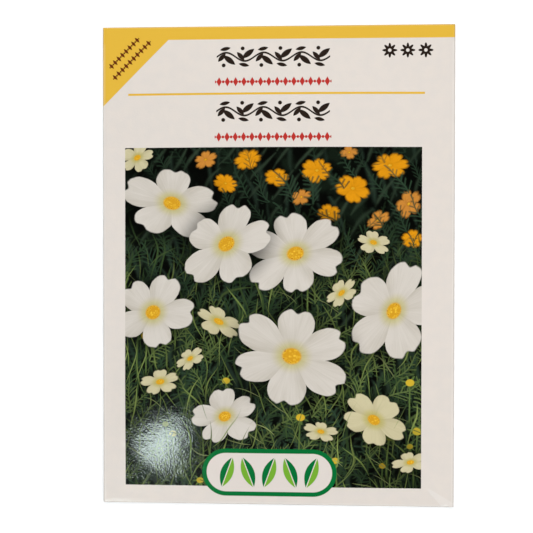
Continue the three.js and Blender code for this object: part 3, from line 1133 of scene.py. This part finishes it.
class Print:
    """Inks that are laid one over another on the flat sheet, in millimetres."""

    def __init__(self, pen: Pen, x: Signal, y: Signal, ground: Operand) -> None:
        """Starts on a ground.

        Args:
            pen: The pen to write with.
            x: Place across the sheet.
            y: Place up the sheet.
            ground: The colour below all inks.
        """
        self.pen, self.x, self.y = pen, x, y
        self.colour: Operand = ground
        self.leaf_shape = bpy.data.node_groups.get("Almond") or almond()  # one group for all

    def lay(self, mask: Operand, ink: Operand) -> None:
        """Lays an ink where a mask shows."""
        self.colour = self.pen.mix(mask, self.colour, ink)

    def either(self, *masks: Signal) -> Signal:
        """Where any of the masks shows.

        Args:
            *masks: The masks.

        Returns:
            The joined mask.
        """
        joined = masks[0]
        for mask in masks[1:]:
            joined = self.pen.math("MAXIMUM", joined, mask)
        return joined

    def within(self, value: Operand, low: float, high: float, soft: float = 0.04) -> Signal:
        """Mask of the stretch from low to high."""
        middle, half = (low + high) / 2, (high - low) / 2
        return self.pen.step(abs(value - middle), half + soft, half - soft)

    def span(self, value: Operand, length: float) -> Signal:
        """Mask of a stretch with its middle at 0."""
        return self.within(value, -length / 2, length / 2)

    def box(self, left: float, right: float, bottom: float, top: float) -> Signal:
        """Mask of a rectangle."""
        return self.within(self.x, left, right) * self.within(self.y, bottom, top)

    def distance(self, x: Operand, y: Operand) -> Signal:
        """Distance from the point where both numbers are 0."""
        return self.pen.math("SQRT", x * x + y * y)

    def spot(self, x: Operand, y: Operand, radius: float, soft: float = 0.05) -> Signal:
        """Mask of a round spot."""
        return self.pen.step(self.distance(x, y), radius + soft, radius - soft)

    def leaf(
        self, x: Operand, y: Operand, turn: float, half_length: float, half_width: float
    ) -> Signal:
        """Mask of a pointed leaf.

        Args:
            x: Place across, from the leaf's middle.
            y: Place up.
            turn: How far the leaf is turned, in degrees.
            half_length: Half its length.
            half_width: Half its width.

        Returns:
            The mask.
        """
        along, across = self.pen.turned(x, y, math.radians(turn))
        shape = self.pen.call(
            self.leaf_shape, X=along, Y=across, Half_Length=half_length, Half_Width=half_width
        )
        return shape["Mask"]

    def repeat(self, value: Signal, length: float, count: int) -> tuple[Signal, Signal]:
        """Cuts a stretch round 0 into equal cells.

        Args:
            value: Place along the stretch.
            length: The stretch's length.
            count: How many cells it has.

        Returns:
            The place from the middle of its cell, and the cell's number.
        """
        pitch = length / count
        cell = self.pen.math("FLOOR", value / pitch + count / 2)
        return value - (cell - (count - 1) / 2) * pitch, cell

    def vine(self, x: Signal, y: Signal, length: float, count: int) -> Signal:
        """Mask of a vine with leaves and berries that runs along x.

        Args:
            x: Place along the vine, from its middle.
            y: Place across it.
            length: The vine's length.
            count: Its half waves, each with one spray of leaves.

        Returns:
            The mask.
        """
        along, cell = self.repeat(x, length, count)
        across = y * (1 - (cell % 2.0) * 2)
        wave = self.pen.math("COSINE", along * (math.pi * count / length))
        stem = self.pen.step(abs(across - wave), 0.28, 0.18)
        leaves = (
            self.leaf(along - 0.75, across + 0.75, -38, 1.85, 0.66),
            self.leaf(along + 1.0, across + 0.15, 48, 1.35, 0.54),
            self.leaf(along + 0.2, across - 1.9, 12, 1.3, 0.46),
        )
        berry = self.spot(along + 0.55, across + 2.0, 0.46)
        return self.either(stem, berry, *leaves) * self.span(x, length)

    def lozenges(
        self, x: Signal, y: Signal, length: float, count: int, half_height: float
    ) -> Signal:
        """Mask of a row of lozenges along x, with a dot between each two.

        Args:
            x: Place along the row, from its middle.
            y: Place across it.
            length: The row's length.
            count: How many lozenges it has.
            half_height: Half their height.

        Returns:
            The mask.
        """
        pitch = length / count
        along, _ = self.repeat(x, length, count)
        diamond = self.pen.step(abs(along) / (pitch * 0.32) + abs(y) / half_height, 1.06, 0.94)
        dots = self.spot(abs(along) - pitch / 2, y, 0.17 * pitch)
        return self.either(diamond, dots) * self.span(x, length)

    def rosette(self, x: Signal, y: Signal, radius: float, petals: int) -> Signal:
        """Mask of a rosette with a round hole.

        Args:
            x: Place across, from the rosette's middle.
            y: Place up.
            radius: The rosette's radius.
            petals: How many petals it has.

        Returns:
            The mask.
        """
        angle = self.pen.math("ARCTAN2", y, x)
        lobes = self.pen.math("COSINE", angle * petals) * 0.22 + 0.78
        reach = self.distance(x, y) / radius
        return self.pen.step(reach - lobes, 0.03, -0.03) * self.pen.step(reach, 0.2, 0.26)


class Meadow(Print):
    """A made-up meadow: white and orange flowers over dark leaves."""

    DARKEST = shade(5, 6, 4)
    GLOOM = shade(18, 27, 18)
    DUSK = ((-28.0, -42.0, 15.0, 0.6), (29.0, -50.0, 14.0, 0.6))  # x, y, radius, depth
    # Each layer leans on the one before by this much, too little to be seen. That makes Cycles
    # work the layers out one by one; all at once, they would overrun its stack.
    HAIR = 1e-6
    STALK_PITCH, STALK_LENGTH = 6.4, 15.0

    def __init__(self, pen: Pen, x: Signal, y: Signal) -> None:
        """Starts on a dark ground.

        Args:
            pen: The pen to write with.
            x: Place across the sheet.
            y: Place up the sheet.
        """
        super().__init__(pen, x, y, self.DARKEST)
        self.bloom, self.buds = petalled_bloom(), buds()
        self.blades, self.fronds = blades(), fronds()
        self.nudge: Operand = 0.0

    def lay(self, mask: Signal, ink: Operand) -> None:
        """Lays an ink where a mask shows; the next layer's place leans on the mask by a hair."""
        super().lay(mask, ink)
        self.nudge = mask * self.HAIR

    def leaves(self, group: bpy.types.NodeTree, coats: Sequence[Coat]) -> None:
        """Lays coats of thin leaves.

        Args:
            group: The kind of leaf.
            coats: The coats, from the far one to the near one.
        """
        for coat in coats:
            leaf = self.pen.call(
                group, X=self.x + self.nudge, Y=self.y, Heading=math.radians(coat.heading),
                Pitch=coat.pitch, Length=coat.length, Width=coat.width, Blur=coat.blur,
                Cover=coat.cover, Seed=coat.seed,
            )
            zone = self.pen.step(self.y, coat.top + 8, coat.top - 4) * coat.strength
            ink = self.pen.mix(leaf["Tone"] * 0.55, coat.ink, self.GLOOM)
            self.lay(leaf["Mask"] * zone, ink)

    def stalks(self, seed: float, cover: float, top: float) -> None:
        """Lays buds on thin stems.

        Args:
            seed: Where the pattern of the buds starts.
            cover: Share of the places that hold a bud.
            top: The height above which they fade out.
        """
        bud = self.pen.call(
            self.buds, X=self.x + self.nudge, Y=self.y, Pitch=self.STALK_PITCH,
            Length=self.STALK_LENGTH, Cover=cover, Seed=seed,
        )
        zone = self.pen.step(self.y, top + 6, top - 6)
        green = self.pen.mix(bud["Tone"], shade(112, 132, 66), shade(72, 94, 50))
        self.lay(bud["Green"] * zone, green)
        ripe = self.pen.step(bud["Tone"], 0.35, 0.75)
        self.lay(bud["Bud"] * zone, self.pen.mix(ripe, shade(146, 150, 56), shade(216, 178, 48)))

    def flowers(self, layer: BloomLayer) -> None:
        """Lays one layer of flowers, each with its shade on what lies behind.

        Args:
            layer: The flowers.
        """
        pen = self.pen
        form = pen.node("ShaderNodeAttribute", attribute_name=f"{layer.name} Form")
        petals, seed, disc = pen.parts(Signal(pen, form.outputs["Color"]))
        ink = pen.node("ShaderNodeAttribute", attribute_name=f"{layer.name} Ink")
        x, y, _ = pen.parts(Signal(pen, pen.node("ShaderNodeUVMap", uv_map=layer.name).outputs[0]))
        flower = pen.call(
            self.bloom, X=x + self.nudge, Y=y, Petals=pen.math("ROUND", petals * 10),
            Seed=pen.math("ROUND", seed * 100), Disc=disc,
            Blur=Signal(pen, form.outputs["Alpha"]), Gap=Signal(pen, ink.outputs["Alpha"]),
            Ink=Signal(pen, ink.outputs["Color"]),
        )
        self.lay(flower["Shade"] * 0.75, self.DARKEST)
        self.lay(flower["Mask"], flower["Colour"])

    def dusk(self) -> None:
        """Dims the leaves in two places low in the picture, where less light gets in."""
        for x, y, radius, depth in self.DUSK:
            reach = self.distance(self.x - x, self.y - y)
            self.lay(self.pen.step(reach, radius, radius * 0.4) * depth, self.DARKEST)

    def paint(self) -> Signal:
        """Paints the meadow, from its far ground to its near leaves.

        Returns:
            The picture's colour.
        """
        pen, place = self.pen, self.pen.pack(self.x, self.y)
        self.lay(pen.step(pen.noise(place, 0.12, 3.0), 0.45, 0.62), self.GLOOM)
        self.leaves(self.blades, FAR_BLADES)
        self.lay(pen.step(pen.noise(place, 0.2, 2.0), 0.52, 0.64) * 0.6, self.DARKEST)
        self.flowers(FAR_BLOOMS)
        self.leaves(self.fronds, BACK_FRONDS)
        self.leaves(self.blades, BACK_BLADES)
        self.stalks(0.35, 0.3, 2.0)
        self.leaves(self.fronds, NEAR_FRONDS)
        self.stalks(2.62, 0.25, -12.0)
        self.leaves(self.blades, NEAR_BLADES)
        self.dusk()
        self.flowers(MIDDLE_BLOOMS)
        self.flowers(NEAR_BLOOMS)
        self.leaves(self.blades, FRONT_BLADES)
        return self.colour


class FrontPrint(Print):
    """The print on the front and on the folds round it."""

    PICTURE = (-36.15, 33.9, -52.2, 27.9)  # left, right, bottom, top
    BAND = 53.4  # lower edge of the band along the top
    CORNER = 79.2  # the corner band's edge is where y is x plus this
    RULE = (-35.4, 34.5, 40.25, 40.75)
    MIDDLE = -0.95  # x of the headings' middle
    HEADINGS = (49.2, 36.3)
    SUBHEADINGS = (43.3, 30.3)
    CORNER_ROWS = ((-36.35, 50.35, 9.9, 8), (-34.55, 48.65, 12.6, 10))  # middle, length, count
    ROSETTES = (30.5, 50.5, 12.6, 3)
    EMBLEM = (-1.8, -48.8)
    EMBLEM_HALF = (15.9, 5.7)

    def bands(self) -> None:
        """Lays the yellow bands and the rule."""
        on_front = self.within(self.x, -41.6, 41.6)
        band = self.pen.step(self.y, self.BAND - 0.05, self.BAND + 0.05)
        corner = self.pen.step(self.y - self.x, self.CORNER - 0.07, self.CORNER + 0.07)
        self.lay(self.either(band, corner) * on_front, Inks.YELLOW)
        self.lay(self.box(*self.RULE), Inks.YELLOW)

    def headings(self) -> None:
        """Lays two vines, each over a row of lozenges, and the rosettes on the right."""
        x = self.x - self.MIDDLE
        for level in self.HEADINGS:
            line = self.within(self.y, level - 3.3, level + 3.3)
            self.lay(self.vine(x, self.y - level, 26.7, 6) * line, Inks.BLACK)
        for level in self.SUBHEADINGS:
            self.lay(self.lozenges(x, self.y - level, 27.4, 14, 1.1), Inks.RED)
        middle_x, middle_y, length, count = self.ROSETTES
        along, _ = self.repeat(self.x - middle_x, length, count)
        inside = self.within(self.x, middle_x - length / 2, middle_x + length / 2)
        self.lay(self.rosette(along, self.y - middle_y, 1.75, 8) * inside, Inks.BLACK)

    def corner_rows(self) -> None:
        """Lays two slanting rows of small lozenges on the corner band."""
        along, across = self.pen.turned(self.x, self.y, math.radians(45))
        for x, y, length, count in self.CORNER_ROWS:
            near, off = along - (x + y) / math.sqrt(2), across - (y - x) / math.sqrt(2)
            self.lay(self.lozenges(near, off, length, count, 0.85), Inks.BROWN)

    def emblem(self) -> None:
        """Lays a pale pill with a green rim and a row of leaves, low on the front."""
        x, y = self.x - self.EMBLEM[0], self.y - self.EMBLEM[1]
        half_width, half_height = self.EMBLEM_HALF
        past = self.pen.math("MAXIMUM", abs(x) - (half_width - half_height), 0.0)
        reach = self.distance(past, y)
        self.lay(self.pen.step(reach, half_height + 0.05, half_height - 0.05), Inks.GREEN)
        inner = half_height - 1.05
        self.lay(self.pen.step(reach, inner + 0.05, inner - 0.05), shade(224, 214, 206))
        length, count = 25.0, 5
        along, cell = self.repeat(x, length, count)
        tilt = 1 - (cell % 2.0) * 2
        leaf_x, leaf_y = self.pen.turned(along * tilt, y, math.radians(70))
        shape = self.leaf(leaf_x, leaf_y, 0, 3.9, 1.5) * self.span(x, length)
        lit = self.pen.mix(self.pen.step(leaf_y, -0.05, 0.05), Inks.LIGHT_GREEN, Inks.GREEN)
        self.lay(shape, lit)
        self.lay(shape * self.pen.step(abs(leaf_y), 0.14, 0.08), shade(224, 214, 206))

    def paint(self) -> Signal:
        """Paints the whole front.

        Returns:
            The front's colour.
        """
        self.bands()
        self.headings()
        self.corner_rows()
        self.lay(self.box(*self.PICTURE), Meadow(self.pen, self.x, self.y).paint())
        self.emblem()
        return self.colour


class BackPrint(Print):
    """The print on the back panel and the flaps, which the front doesn't show."""

    PANEL_MIDDLE = -82.6  # x of the back panel's middle on the flat sheet
    LINES = (2.9, 11, 23.0)  # pitch, rows, top
    LINE_ENDS = (-35.0, 35.0, 16.0)  # where a line starts and ends, and how much it may lack
    MONTHS = (66.0, 12, -16.0)  # length, count, level
    SIGNS = (48.0, 3, -30.0)

    def ruled_lines(self, x: Signal) -> None:
        """Lays short ruled lines of uneven length.

        Args:
            x: Place across the back panel, from its middle.
        """
        pitch, rows, top = self.LINES
        start, end, lack = self.LINE_ENDS
        row = self.pen.math("FLOOR", (top - self.y) / pitch)
        across = top - self.y - (row + 0.5) * pitch
        uneven, *_ = self.pen.chance(row, 3.7)
        over = x - (end - uneven * uneven * lack)
        line = self.pen.step(abs(across), 0.24, 0.16) * self.pen.step(over, 0.05, -0.05)
        inside = self.within(self.y, top - pitch * rows, top) * self.within(x, start, end + 0.5)
        self.lay(line * inside, Inks.GREY)

    def month_row(self, x: Signal) -> None:
        """Lays small squares in a row, some of them filled.

        Args:
            x: Place across the back panel, from its middle.
        """
        length, count, level = self.MONTHS
        along, cell = self.repeat(x, length, count)
        reach = self.pen.math("MAXIMUM", abs(along), abs(self.y - level))
        inside = self.span(x, length)
        filled = self.pen.step(abs(cell - 4.5), 2.1, 1.9)
        square = self.pen.step(reach, 2.15, 2.05) * inside
        self.lay(square, self.pen.mix(filled, Inks.PAPER, Inks.YELLOW))
        rim = self.pen.step(reach, 2.35, 2.25) * self.pen.step(reach, 2.0, 2.1) * inside
        self.lay(rim, Inks.GREEN)

    def signs(self, x: Signal) -> None:
        """Lays three round signs: a sun, a leaf and a drop.

        Args:
            x: Place across the back panel, from its middle.
        """
        length, count, level = self.SIGNS
        along, cell = self.repeat(x, length, count)
        across = self.y - level
        inside = self.span(x, length)
        reach = self.distance(along, across)
        ring = self.pen.step(reach, 5.25, 5.15) * self.pen.step(reach, 4.65, 4.75)
        self.lay(ring * inside, Inks.GREEN)
        first = self.pen.step(cell, 0.5, 0.4) * inside
        self.lay(self.rosette(along, across, 3.8, 12) * first, Inks.YELLOW)
        second = self.within(cell, 0.5, 1.5) * inside
        self.lay(self.leaf(along, across, 55, 3.8, 1.6) * second, Inks.LIGHT_GREEN)
        third = self.pen.step(cell, 1.4, 1.6) * inside
        tip = self.pen.step(abs(along) + across * 0.49 - 1.57, 0.05, -0.05)
        tip = tip * self.pen.step(across, -0.15, -0.05)
        self.lay(self.either(self.spot(along, across + 0.9, 1.8), tip) * third, Inks.BLUE)

    def paint(self) -> Signal:
        """Paints the back and the flaps.

        Returns:
            Their colour.
        """
        x = self.x - self.PANEL_MIDDLE
        on_panel = self.pen.step(self.x, -41.0, -42.0)
        band = self.pen.step(self.y, FrontPrint.BAND - 0.05, FrontPrint.BAND + 0.05)
        self.lay(band * self.within(self.x, -41.35, 41.35), Inks.YELLOW)
        line = self.within(self.y, 29.7, 36.3) * on_panel
        self.lay(self.vine(x, self.y - 33.0, 26.7, 6) * line, Inks.BLACK)
        self.lay(self.lozenges(x, self.y - 27.2, 27.4, 14, 1.1), Inks.RED)
        self.ruled_lines(x)
        self.month_row(x)
        self.signs(x)
        self.lay(self.box(-120.0, -45.0, -39.6, -39.0), Inks.YELLOW)
        return self.colour


class StockSide(Enum):
    """The two printed parts of the sheet, each with its own print."""

    FRONT = FrontPrint
    BACK = BackPrint


@dataclass(frozen=True)
class Finish:
    """A finish whose colour and roughness change over the surface, above a fine grain."""

    tooth: bpy.types.NodeTree
    tooth_depth: float = 0.02  # millimetres

    def surface(self, pen: Pen) -> tuple[Signal, Signal, Signal]:
        """Works out the surface; each finish has its own."""
        raise NotImplementedError

    def material(self, name: str) -> bpy.types.Material:
        """Builds the material.

        Args:
            name: The material's name.

        Returns:
            The material.
        """
        material, pen, shader = start_material(name)
        place, colour, roughness = self.surface(pen)
        pen.feed(shader.inputs["Base Color"], colour)
        pen.feed(shader.inputs["Roughness"], roughness)
        pen.bump(shader, pen.call(self.tooth, Place=place, Depth=self.tooth_depth)["Height"])
        return material


@dataclass(frozen=True)
class PrintedStock(Finish):
    """The sheet's printed side: coated paper with its inks, glossy, rougher where the folds crush
    the coating, with painted shade and painted highlights along the folds.
    """

    FOLDS = (41.55, 56.6)  # middles of the bends on the flat sheet, across and up

    side: StockSide = StockSide.FRONT
    roughness: float = 0.11
    crushed_roughness: float = 0.6
    tooth_depth: float = 0.019
    # strength of the painted highlight beside the folds and on the creased corner
    fold_highlight_strength: float = 0.13  # how pale the lines beside the folds are
    # strength of the painted shade on the folds' outer lines
    fold_shade_strength: float = 0.28

    def crush_and_painted_light(self, pen: Pen, x: Signal, y: Signal) -> tuple[Signal, Signal, Signal]:
        """Where folding has crushed the coating, and where shade and highlights are painted along
        the folds.

        Args:
            pen: The pen to write with.
            x: Place across the sheet.
            y: Place up the sheet.

        Returns:
            The mask of the folds, that of the painted shade on their outer lines, and that of the
            painted highlight beside them and of the creased corner, which is partly whitened where
            the coating cracks and partly a painted highlight.
        """
        off = pen.math("MINIMUM", *(abs(abs(p) - fold) for p, fold in zip((x, y), self.FOLDS)))
        # The second mask is painted shade: a darker line on the outside of each fold, where the
        # bend turns away from the lights.
        folds, painted_fold_shade = pen.step(off, 0.55, 0.3), pen.step(off, 0.36, 0.2)
        # Painted highlight: paler lines beside the side and bottom folds, where the pressed score
        # catches the light.
        painted_score_highlight = pen.step(abs(off - 0.5), 0.22, 0.08) * pen.step(y, 53.0, 52.0)
        # The creased corner is paler, partly whitened where the coating cracks and partly a painted
        # highlight of the light the crease catches.
        along, across = pen.turned(x - 34.8, y + 51.7, math.radians(-36))
        spread = pen.math("MAXIMUM", along, 0.0) * 0.16 + 0.12
        corner = pen.step(abs(across + spread * 0.4), spread + 0.1, spread - 0.1)
        corner = corner * pen.step(along, 0.0, 2.0) * pen.step(abs(x), 41.6, 41.4)
        return folds, painted_fold_shade, pen.math("MAXIMUM", painted_score_highlight * 0.6, corner)

    def surface(self, pen: Pen) -> tuple[Signal, Signal, Signal]:
        """Works out the surface.

        Args:
            pen: The pen to write with.

        Returns:
            The place that the grain follows, the colour and the roughness.
        """
        place = pen.sheet_place()
        x, y, _ = pen.parts(place)
        mottle = pen.step(pen.noise(place, 0.35, 2.0), 0.3, 0.7)
        sheet = pen.mix(mottle, Inks.PAPER, Inks.PAPER_MOTTLE)
        colour = self.side.value(pen, x, y, sheet).paint()
        folds, painted_fold_shade, whitening_and_highlight = self.crush_and_painted_light(pen, x, y)
        # Painted highlight beside the folds; on the creased corner, partly whitening and partly
        # painted highlight.
        colour = pen.mix(whitening_and_highlight * self.fold_highlight_strength, colour, (1, 1, 1, 1))
        # Painted shade: darkens the outer lines of the folds.
        colour = pen.mix(painted_fold_shade * self.fold_shade_strength, colour, Inks.BLACK)
        gloss = pen.noise(place, 0.8, 2.0) * 0.04 + (self.roughness - 0.02)
        return place, colour, gloss + folds * (self.crushed_roughness - self.roughness)


@dataclass(frozen=True)
class RawStock(Finish):
    """The sheet's unprinted side and its cut edges."""

    tooth_depth: float = 0.016
    paper: Colour = shade(232, 228, 220)
    fibre: Colour = shade(212, 206, 194)
    roughness: float = 0.78

    def surface(self, pen: Pen) -> tuple[Signal, Signal, Signal]:
        """Works out the surface.

        Args:
            pen: The pen to write with.

        Returns:
            The place that the grain follows, the colour and the roughness.
        """
        place = pen.object_place()
        fibres = pen.step(pen.noise(place, 1.6, 4.0), 0.35, 0.7)
        return place, pen.mix(fibres, self.paper, self.fibre), fibres * 0.08 + self.roughness


@dataclass(frozen=True)
class DriedGum(Finish):
    """Gum that has dried between two layers of paper."""

    thick: Colour = shade(206, 184, 132)
    thin: Colour = shade(226, 214, 182)
    roughness: float = 0.38

    def surface(self, pen: Pen) -> tuple[Signal, Signal, Signal]:
        """Works out the surface.

        Args:
            pen: The pen to write with.

        Returns:
            The place that the grain follows, the colour and the roughness.
        """
        place = pen.object_place()
        runs = pen.noise(place, 0.5, 3.0)
        colour = pen.mix(pen.step(runs, 0.35, 0.65), self.thick, self.thin)
        return place, colour, runs * 0.2 + (self.roughness - 0.1)


@dataclass(frozen=True)
class SeedHusk(Finish):
    """The dry, grooved husk of the seeds."""

    tooth_depth: float = 0.03
    groove: Colour = shade(44, 30, 20)
    ridge: Colour = shade(104, 78, 50)
    beak: Colour = shade(150, 122, 84)

    def surface(self, pen: Pen) -> tuple[Signal, Signal, Signal]:
        """Works out the surface.

        Args:
            pen: The pen to write with.

        Returns:
            The place that the grain follows, the colour and the roughness.
        """
        place = pen.object_place()
        ridge, beak, _ = pen.parts(pen.attribute(LooseSeeds.HUSK, "Color"))
        streaks = pen.noise(place, 2.4, 3.0)
        raised = pen.math("ADD", ridge * 0.8, streaks - 0.4, clamp=True)
        colour = pen.mix(raised, self.groove, self.ridge)
        colour = pen.mix(pen.step(beak + streaks * 0.3, 0.85, 1.15), colour, self.beak)
        return place, colour, streaks * 0.2 + 0.55


@dataclass(frozen=True)
class StudioFloor:
    """The plain pale surface under the packet."""

    tone: Colour = shade(252, 252, 252)
    glow: float = 0.12

    def material(self) -> bpy.types.Material:
        """Builds the material.

        Returns:
            The material.
        """
        material, _, _ = start_material(
            "studio floor", Base_Color=self.tone, Roughness=0.9, Specular_IOR_Level=0.1,
            Emission_Color=self.tone, Emission_Strength=self.glow,
        )
        return material


# ---------------------------------------------------------------------------------------------
# The seeds and the glue
# ---------------------------------------------------------------------------------------------


@dataclass(frozen=True)
class LooseSeeds:
    """The seeds: slender, bowed, grooved along their length and drawn out to a beak."""

    HUSK = "Husk"
    MIDDLE = 0.09  # how near half the length a point of the solid's middle ring lies

    sides: int = 16
    rings: int = 12
    ridges: int = 4
    groove_depth: float = 0.14  # share of the radius
    beak_draw: float = 0.75  # below 1, the thickest place is nearer one end
    fullness: float = 0.7

    def middle_line(self, node: str) -> tuple[Vector, Vector, Vector, float]:
        """Reads how a seed lies from its solid.

        Args:
            node: The solid's name.

        Returns:
            The blunt tip, the beak's tip, how far the middle is bowed, and the greatest radius.
        """
        points = [vert.co.copy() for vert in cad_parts[node].data.vertices]
        blunt = max(points, key=lambda p: (p - points[0]).length)
        beak = max(points, key=lambda p: (p - blunt).length)
        chord = beak - blunt
        shares = [(p - blunt).dot(chord) / chord.length_squared for p in points]
        if sum(share - 0.5 for share in shares) > 0:
            blunt, beak, chord = beak, blunt, -chord
            shares = [1 - share for share in shares]
        low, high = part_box(node)
        radius = (high.z - low.z) / 2
        ring = [p for p, share in zip(points, shares) if abs(share - 0.5) < self.MIDDLE]
        centre = sum(ring, Vector()) / len(ring)
        bow = centre - blunt - chord * ((centre - blunt).dot(chord) / chord.length_squared)
        return blunt, beak, bow, radius

    def build(self, node: str, husk: bpy.types.Material) -> bpy.types.Object:
        """Builds one seed where its solid lies.

        Args:
            node: The solid's name.
            husk: The seed's material.

        Returns:
            The piece.
        """
        blunt, beak, bow, radius = self.middle_line(node)
        chord = beak - blunt
        bm = bmesh.new()
        profile = []
        for ring in range(self.rings + 1):
            share = ring / self.rings
            thickness = max(math.sin(math.pi * share**self.beak_draw), 0.0) ** self.fullness
            profile.append(bm.verts.new((share, 0.0, thickness * radius)))
        for first, second in zip(profile, profile[1:]):
            bm.edges.new((first, second))
        bmesh.ops.spin(
            bm, geom=bm.verts[:] + bm.edges[:], cent=(0, 0, 0), axis=(1, 0, 0),
            angle=math.tau, steps=self.sides, use_merge=True,
        )
        bmesh.ops.remove_doubles(bm, verts=bm.verts, dist=1e-7)
        bmesh.ops.recalc_face_normals(bm, faces=bm.faces)
        turn = Vector((1, 0, 0)).rotation_difference(chord.normalized()).to_matrix()
        husk_layer = bm.verts.layers.float_color.new(self.HUSK)
        for vert in bm.verts:
            share = vert.co.x
            crest = math.cos(math.atan2(vert.co.z, vert.co.y) * self.ridges) * 0.5 + 0.5
            around = Vector((0, vert.co.y, vert.co.z)) * (1 - self.groove_depth * (1 - crest))
            vert[husk_layer] = (crest, share, 0, 1)
            arch = bow * (1 - (2 * share - 1) ** 2)
            vert.co = blunt + chord * share + arch + turn @ around
        return finish_mesh(bm, f"{node}_husk", (husk,))


@dataclass(frozen=True)
class GlueSeams:
    """The dried gum in the packet's three seams, which keeps the solids' own shapes."""

    nodes: tuple[str, ...] = ("side_seam_glue", "top_flap_glue", "bottom_flap_glue")

    def dress(self, gum: bpy.types.Material) -> None:
        """Gives the seams their finish.

        Args:
            gum: The finish.
        """
        for name in self.nodes:
            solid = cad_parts[name]
            for holder in solid.material_slots:
                holder.material = gum


# ---------------------------------------------------------------------------------------------
# The studio
# ---------------------------------------------------------------------------------------------


@dataclass(frozen=True)
class Studio:
    """The floor, the lights and the camera."""

    camera_place: Vector = Vector((18.6, 5.8, 306.7)) * MM
    camera_turn: tuple[float, float, float] = (-1.10, 3.95, 0.06)  # degrees
    focal_px: float = 1300.0
    frame_px: float = 533.0
    sensor_mm: float = 36.0
    floor_half: float = 0.5
    softbox_ring: float = 0.75  # how far from the middle the softboxes hang
    softbox_height: float = 0.62
    softbox_size: tuple[float, float] = (0.5, 0.35)
    softboxes: tuple[tuple[str, float, float], ...] = (  # name, direction in degrees, power
        ("left", 180, 3.3), ("right", 0, 4.5), ("top", 90, 5.0), ("bottom", 270, 3.4),
    )
    left_tint: tuple[float, float, float] = (0.86, 0.95, 1.0)
    fill: float = 0.06  # strength of the even light from all round
    mirrored_cut: float = 0.8  # how much of it gloss doesn't mirror
    glint_place: Vector = Vector((-0.216, -0.2595, 0.562))
    glint_size: tuple[float, float] = (0.1, 0.1)
    glint_power: float = 0.6
    glint_tint: tuple[float, float, float] = (0.84, 1.0, 0.95)

    def add_camera(self) -> None:
        """Places the camera where the photograph was taken from."""
        data = bpy.data.cameras.new("camera")
        data.sensor_width = self.sensor_mm
        data.lens = self.sensor_mm * self.focal_px / self.frame_px
        data.clip_start = 10 * MM
        camera = add_object("camera", data)
        camera.location = self.camera_place
        camera.rotation_euler = [math.radians(turn) for turn in self.camera_turn]
        bpy.context.scene.camera = camera

    def add_floor(self) -> None:
        """Lays the floor."""
        bm = bmesh.new()
        bmesh.ops.create_grid(bm, x_segments=2, y_segments=2, size=self.floor_half)
        mesh = bpy.data.meshes.new("studio_floor")
        bm.to_mesh(mesh)
        bm.free()
        mesh.materials.append(StudioFloor().material())
        floor = add_object("studio_floor", mesh)

    def add_softbox(
        self, name: str, place: Vector, target: Vector, size: tuple[float, float], power: float
    ) -> None:
        """Hangs a rectangular light that faces a target.

        Args:
            name: The light's name.
            place: Where it hangs.
            target: What it faces.
            size: Its width and height.
            power: Its power.
        """
        data = bpy.data.lights.new(name, "AREA")
        data.shape = "RECTANGLE"
        data.size, data.size_y = size
        data.energy = power
        light = add_object(name, data)
        light.location = place
        light.rotation_euler = (target - place).to_track_quat("-Z", "Y").to_euler()
        light.visible_camera = False

    def add_lights(self) -> None:
        """Hangs a soft light on each side of the packet, the strongest at the top and the right."""
        for name, angle, power in self.softboxes:
            turn = math.radians(angle)
            place = Vector((math.cos(turn), math.sin(turn), 0)) * self.softbox_ring
            place.z = self.softbox_height
            self.add_softbox(f"softbox_{name}", place, Vector((0, 0, 0)), self.softbox_size, power)
        bpy.data.lights["softbox_left"].color = self.left_tint
        world = bpy.data.worlds.new("studio")
        world.use_nodes = True
        pen = Pen(world.node_tree)
        background = world.node_tree.nodes["Background"]
        background.inputs["Color"].default_value = (1, 1, 1, 1)
        ray = pen.node("ShaderNodeLightPath")
        seen = Signal(pen, ray.outputs["Is Camera Ray"])
        mirrored = Signal(pen, ray.outputs["Is Glossy Ray"])
        even = self.fill * (1 - mirrored * self.mirrored_cut)
        pen.feed(background.inputs["Strength"], seen * (1 - self.fill) + even)
        bpy.context.scene.world = world

    def add_glint(self) -> None:
        """Hangs the lamp that the front's lower left mirrors; it lights nothing but gloss."""
        below = self.glint_place - Vector((0, 0, 1))
        self.add_softbox("glint_lamp", self.glint_place, below, self.glint_size, self.glint_power)
        bpy.data.objects["glint_lamp"].visible_diffuse = False
        bpy.data.lights["glint_lamp"].color = self.glint_tint

    def build(self) -> None:
        """Sets up the whole studio round the packet."""
        self.add_camera()
        self.add_floor()
        self.add_lights()
        self.add_glint()
        settings = bpy.context.scene.view_settings
        settings.view_transform = "Standard"
        settings.look = "None"


def main() -> None:
    """Builds and dresses the packet, piece by piece."""
    logging.basicConfig(level=logging.INFO, format="%(name)s: %(message)s")
    envelope = Envelope()
    Studio().build()
    LOG.info("studio ready")

    grain = tooth()
    stock = [
        PrintedStock(grain, side=side).material(f"printed stock {side.name.lower()}")
        for side in StockSide
    ]
    stock.append(RawStock(grain).material("raw stock"))
    sheet = envelope.build(stock)
    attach(sheet, "root")
    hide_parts("envelope")
    LOG.info("envelope: %d faces", len(sheet.data.polygons))

    GlueSeams().dress(DriedGum(grain).material("dried gum"))
    LOG.info("glue seams dressed")

    seeds, husk = LooseSeeds(), SeedHusk(grain).material("seed husk")
    solids = sorted(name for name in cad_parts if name.startswith("seed_"))
    for name in solids:
        piece = seeds.build(name, husk)
        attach(piece, "root")
        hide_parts(name)
    LOG.info("seeds: %d pieces", len(solids))


if __name__ == "__main__":
    main()
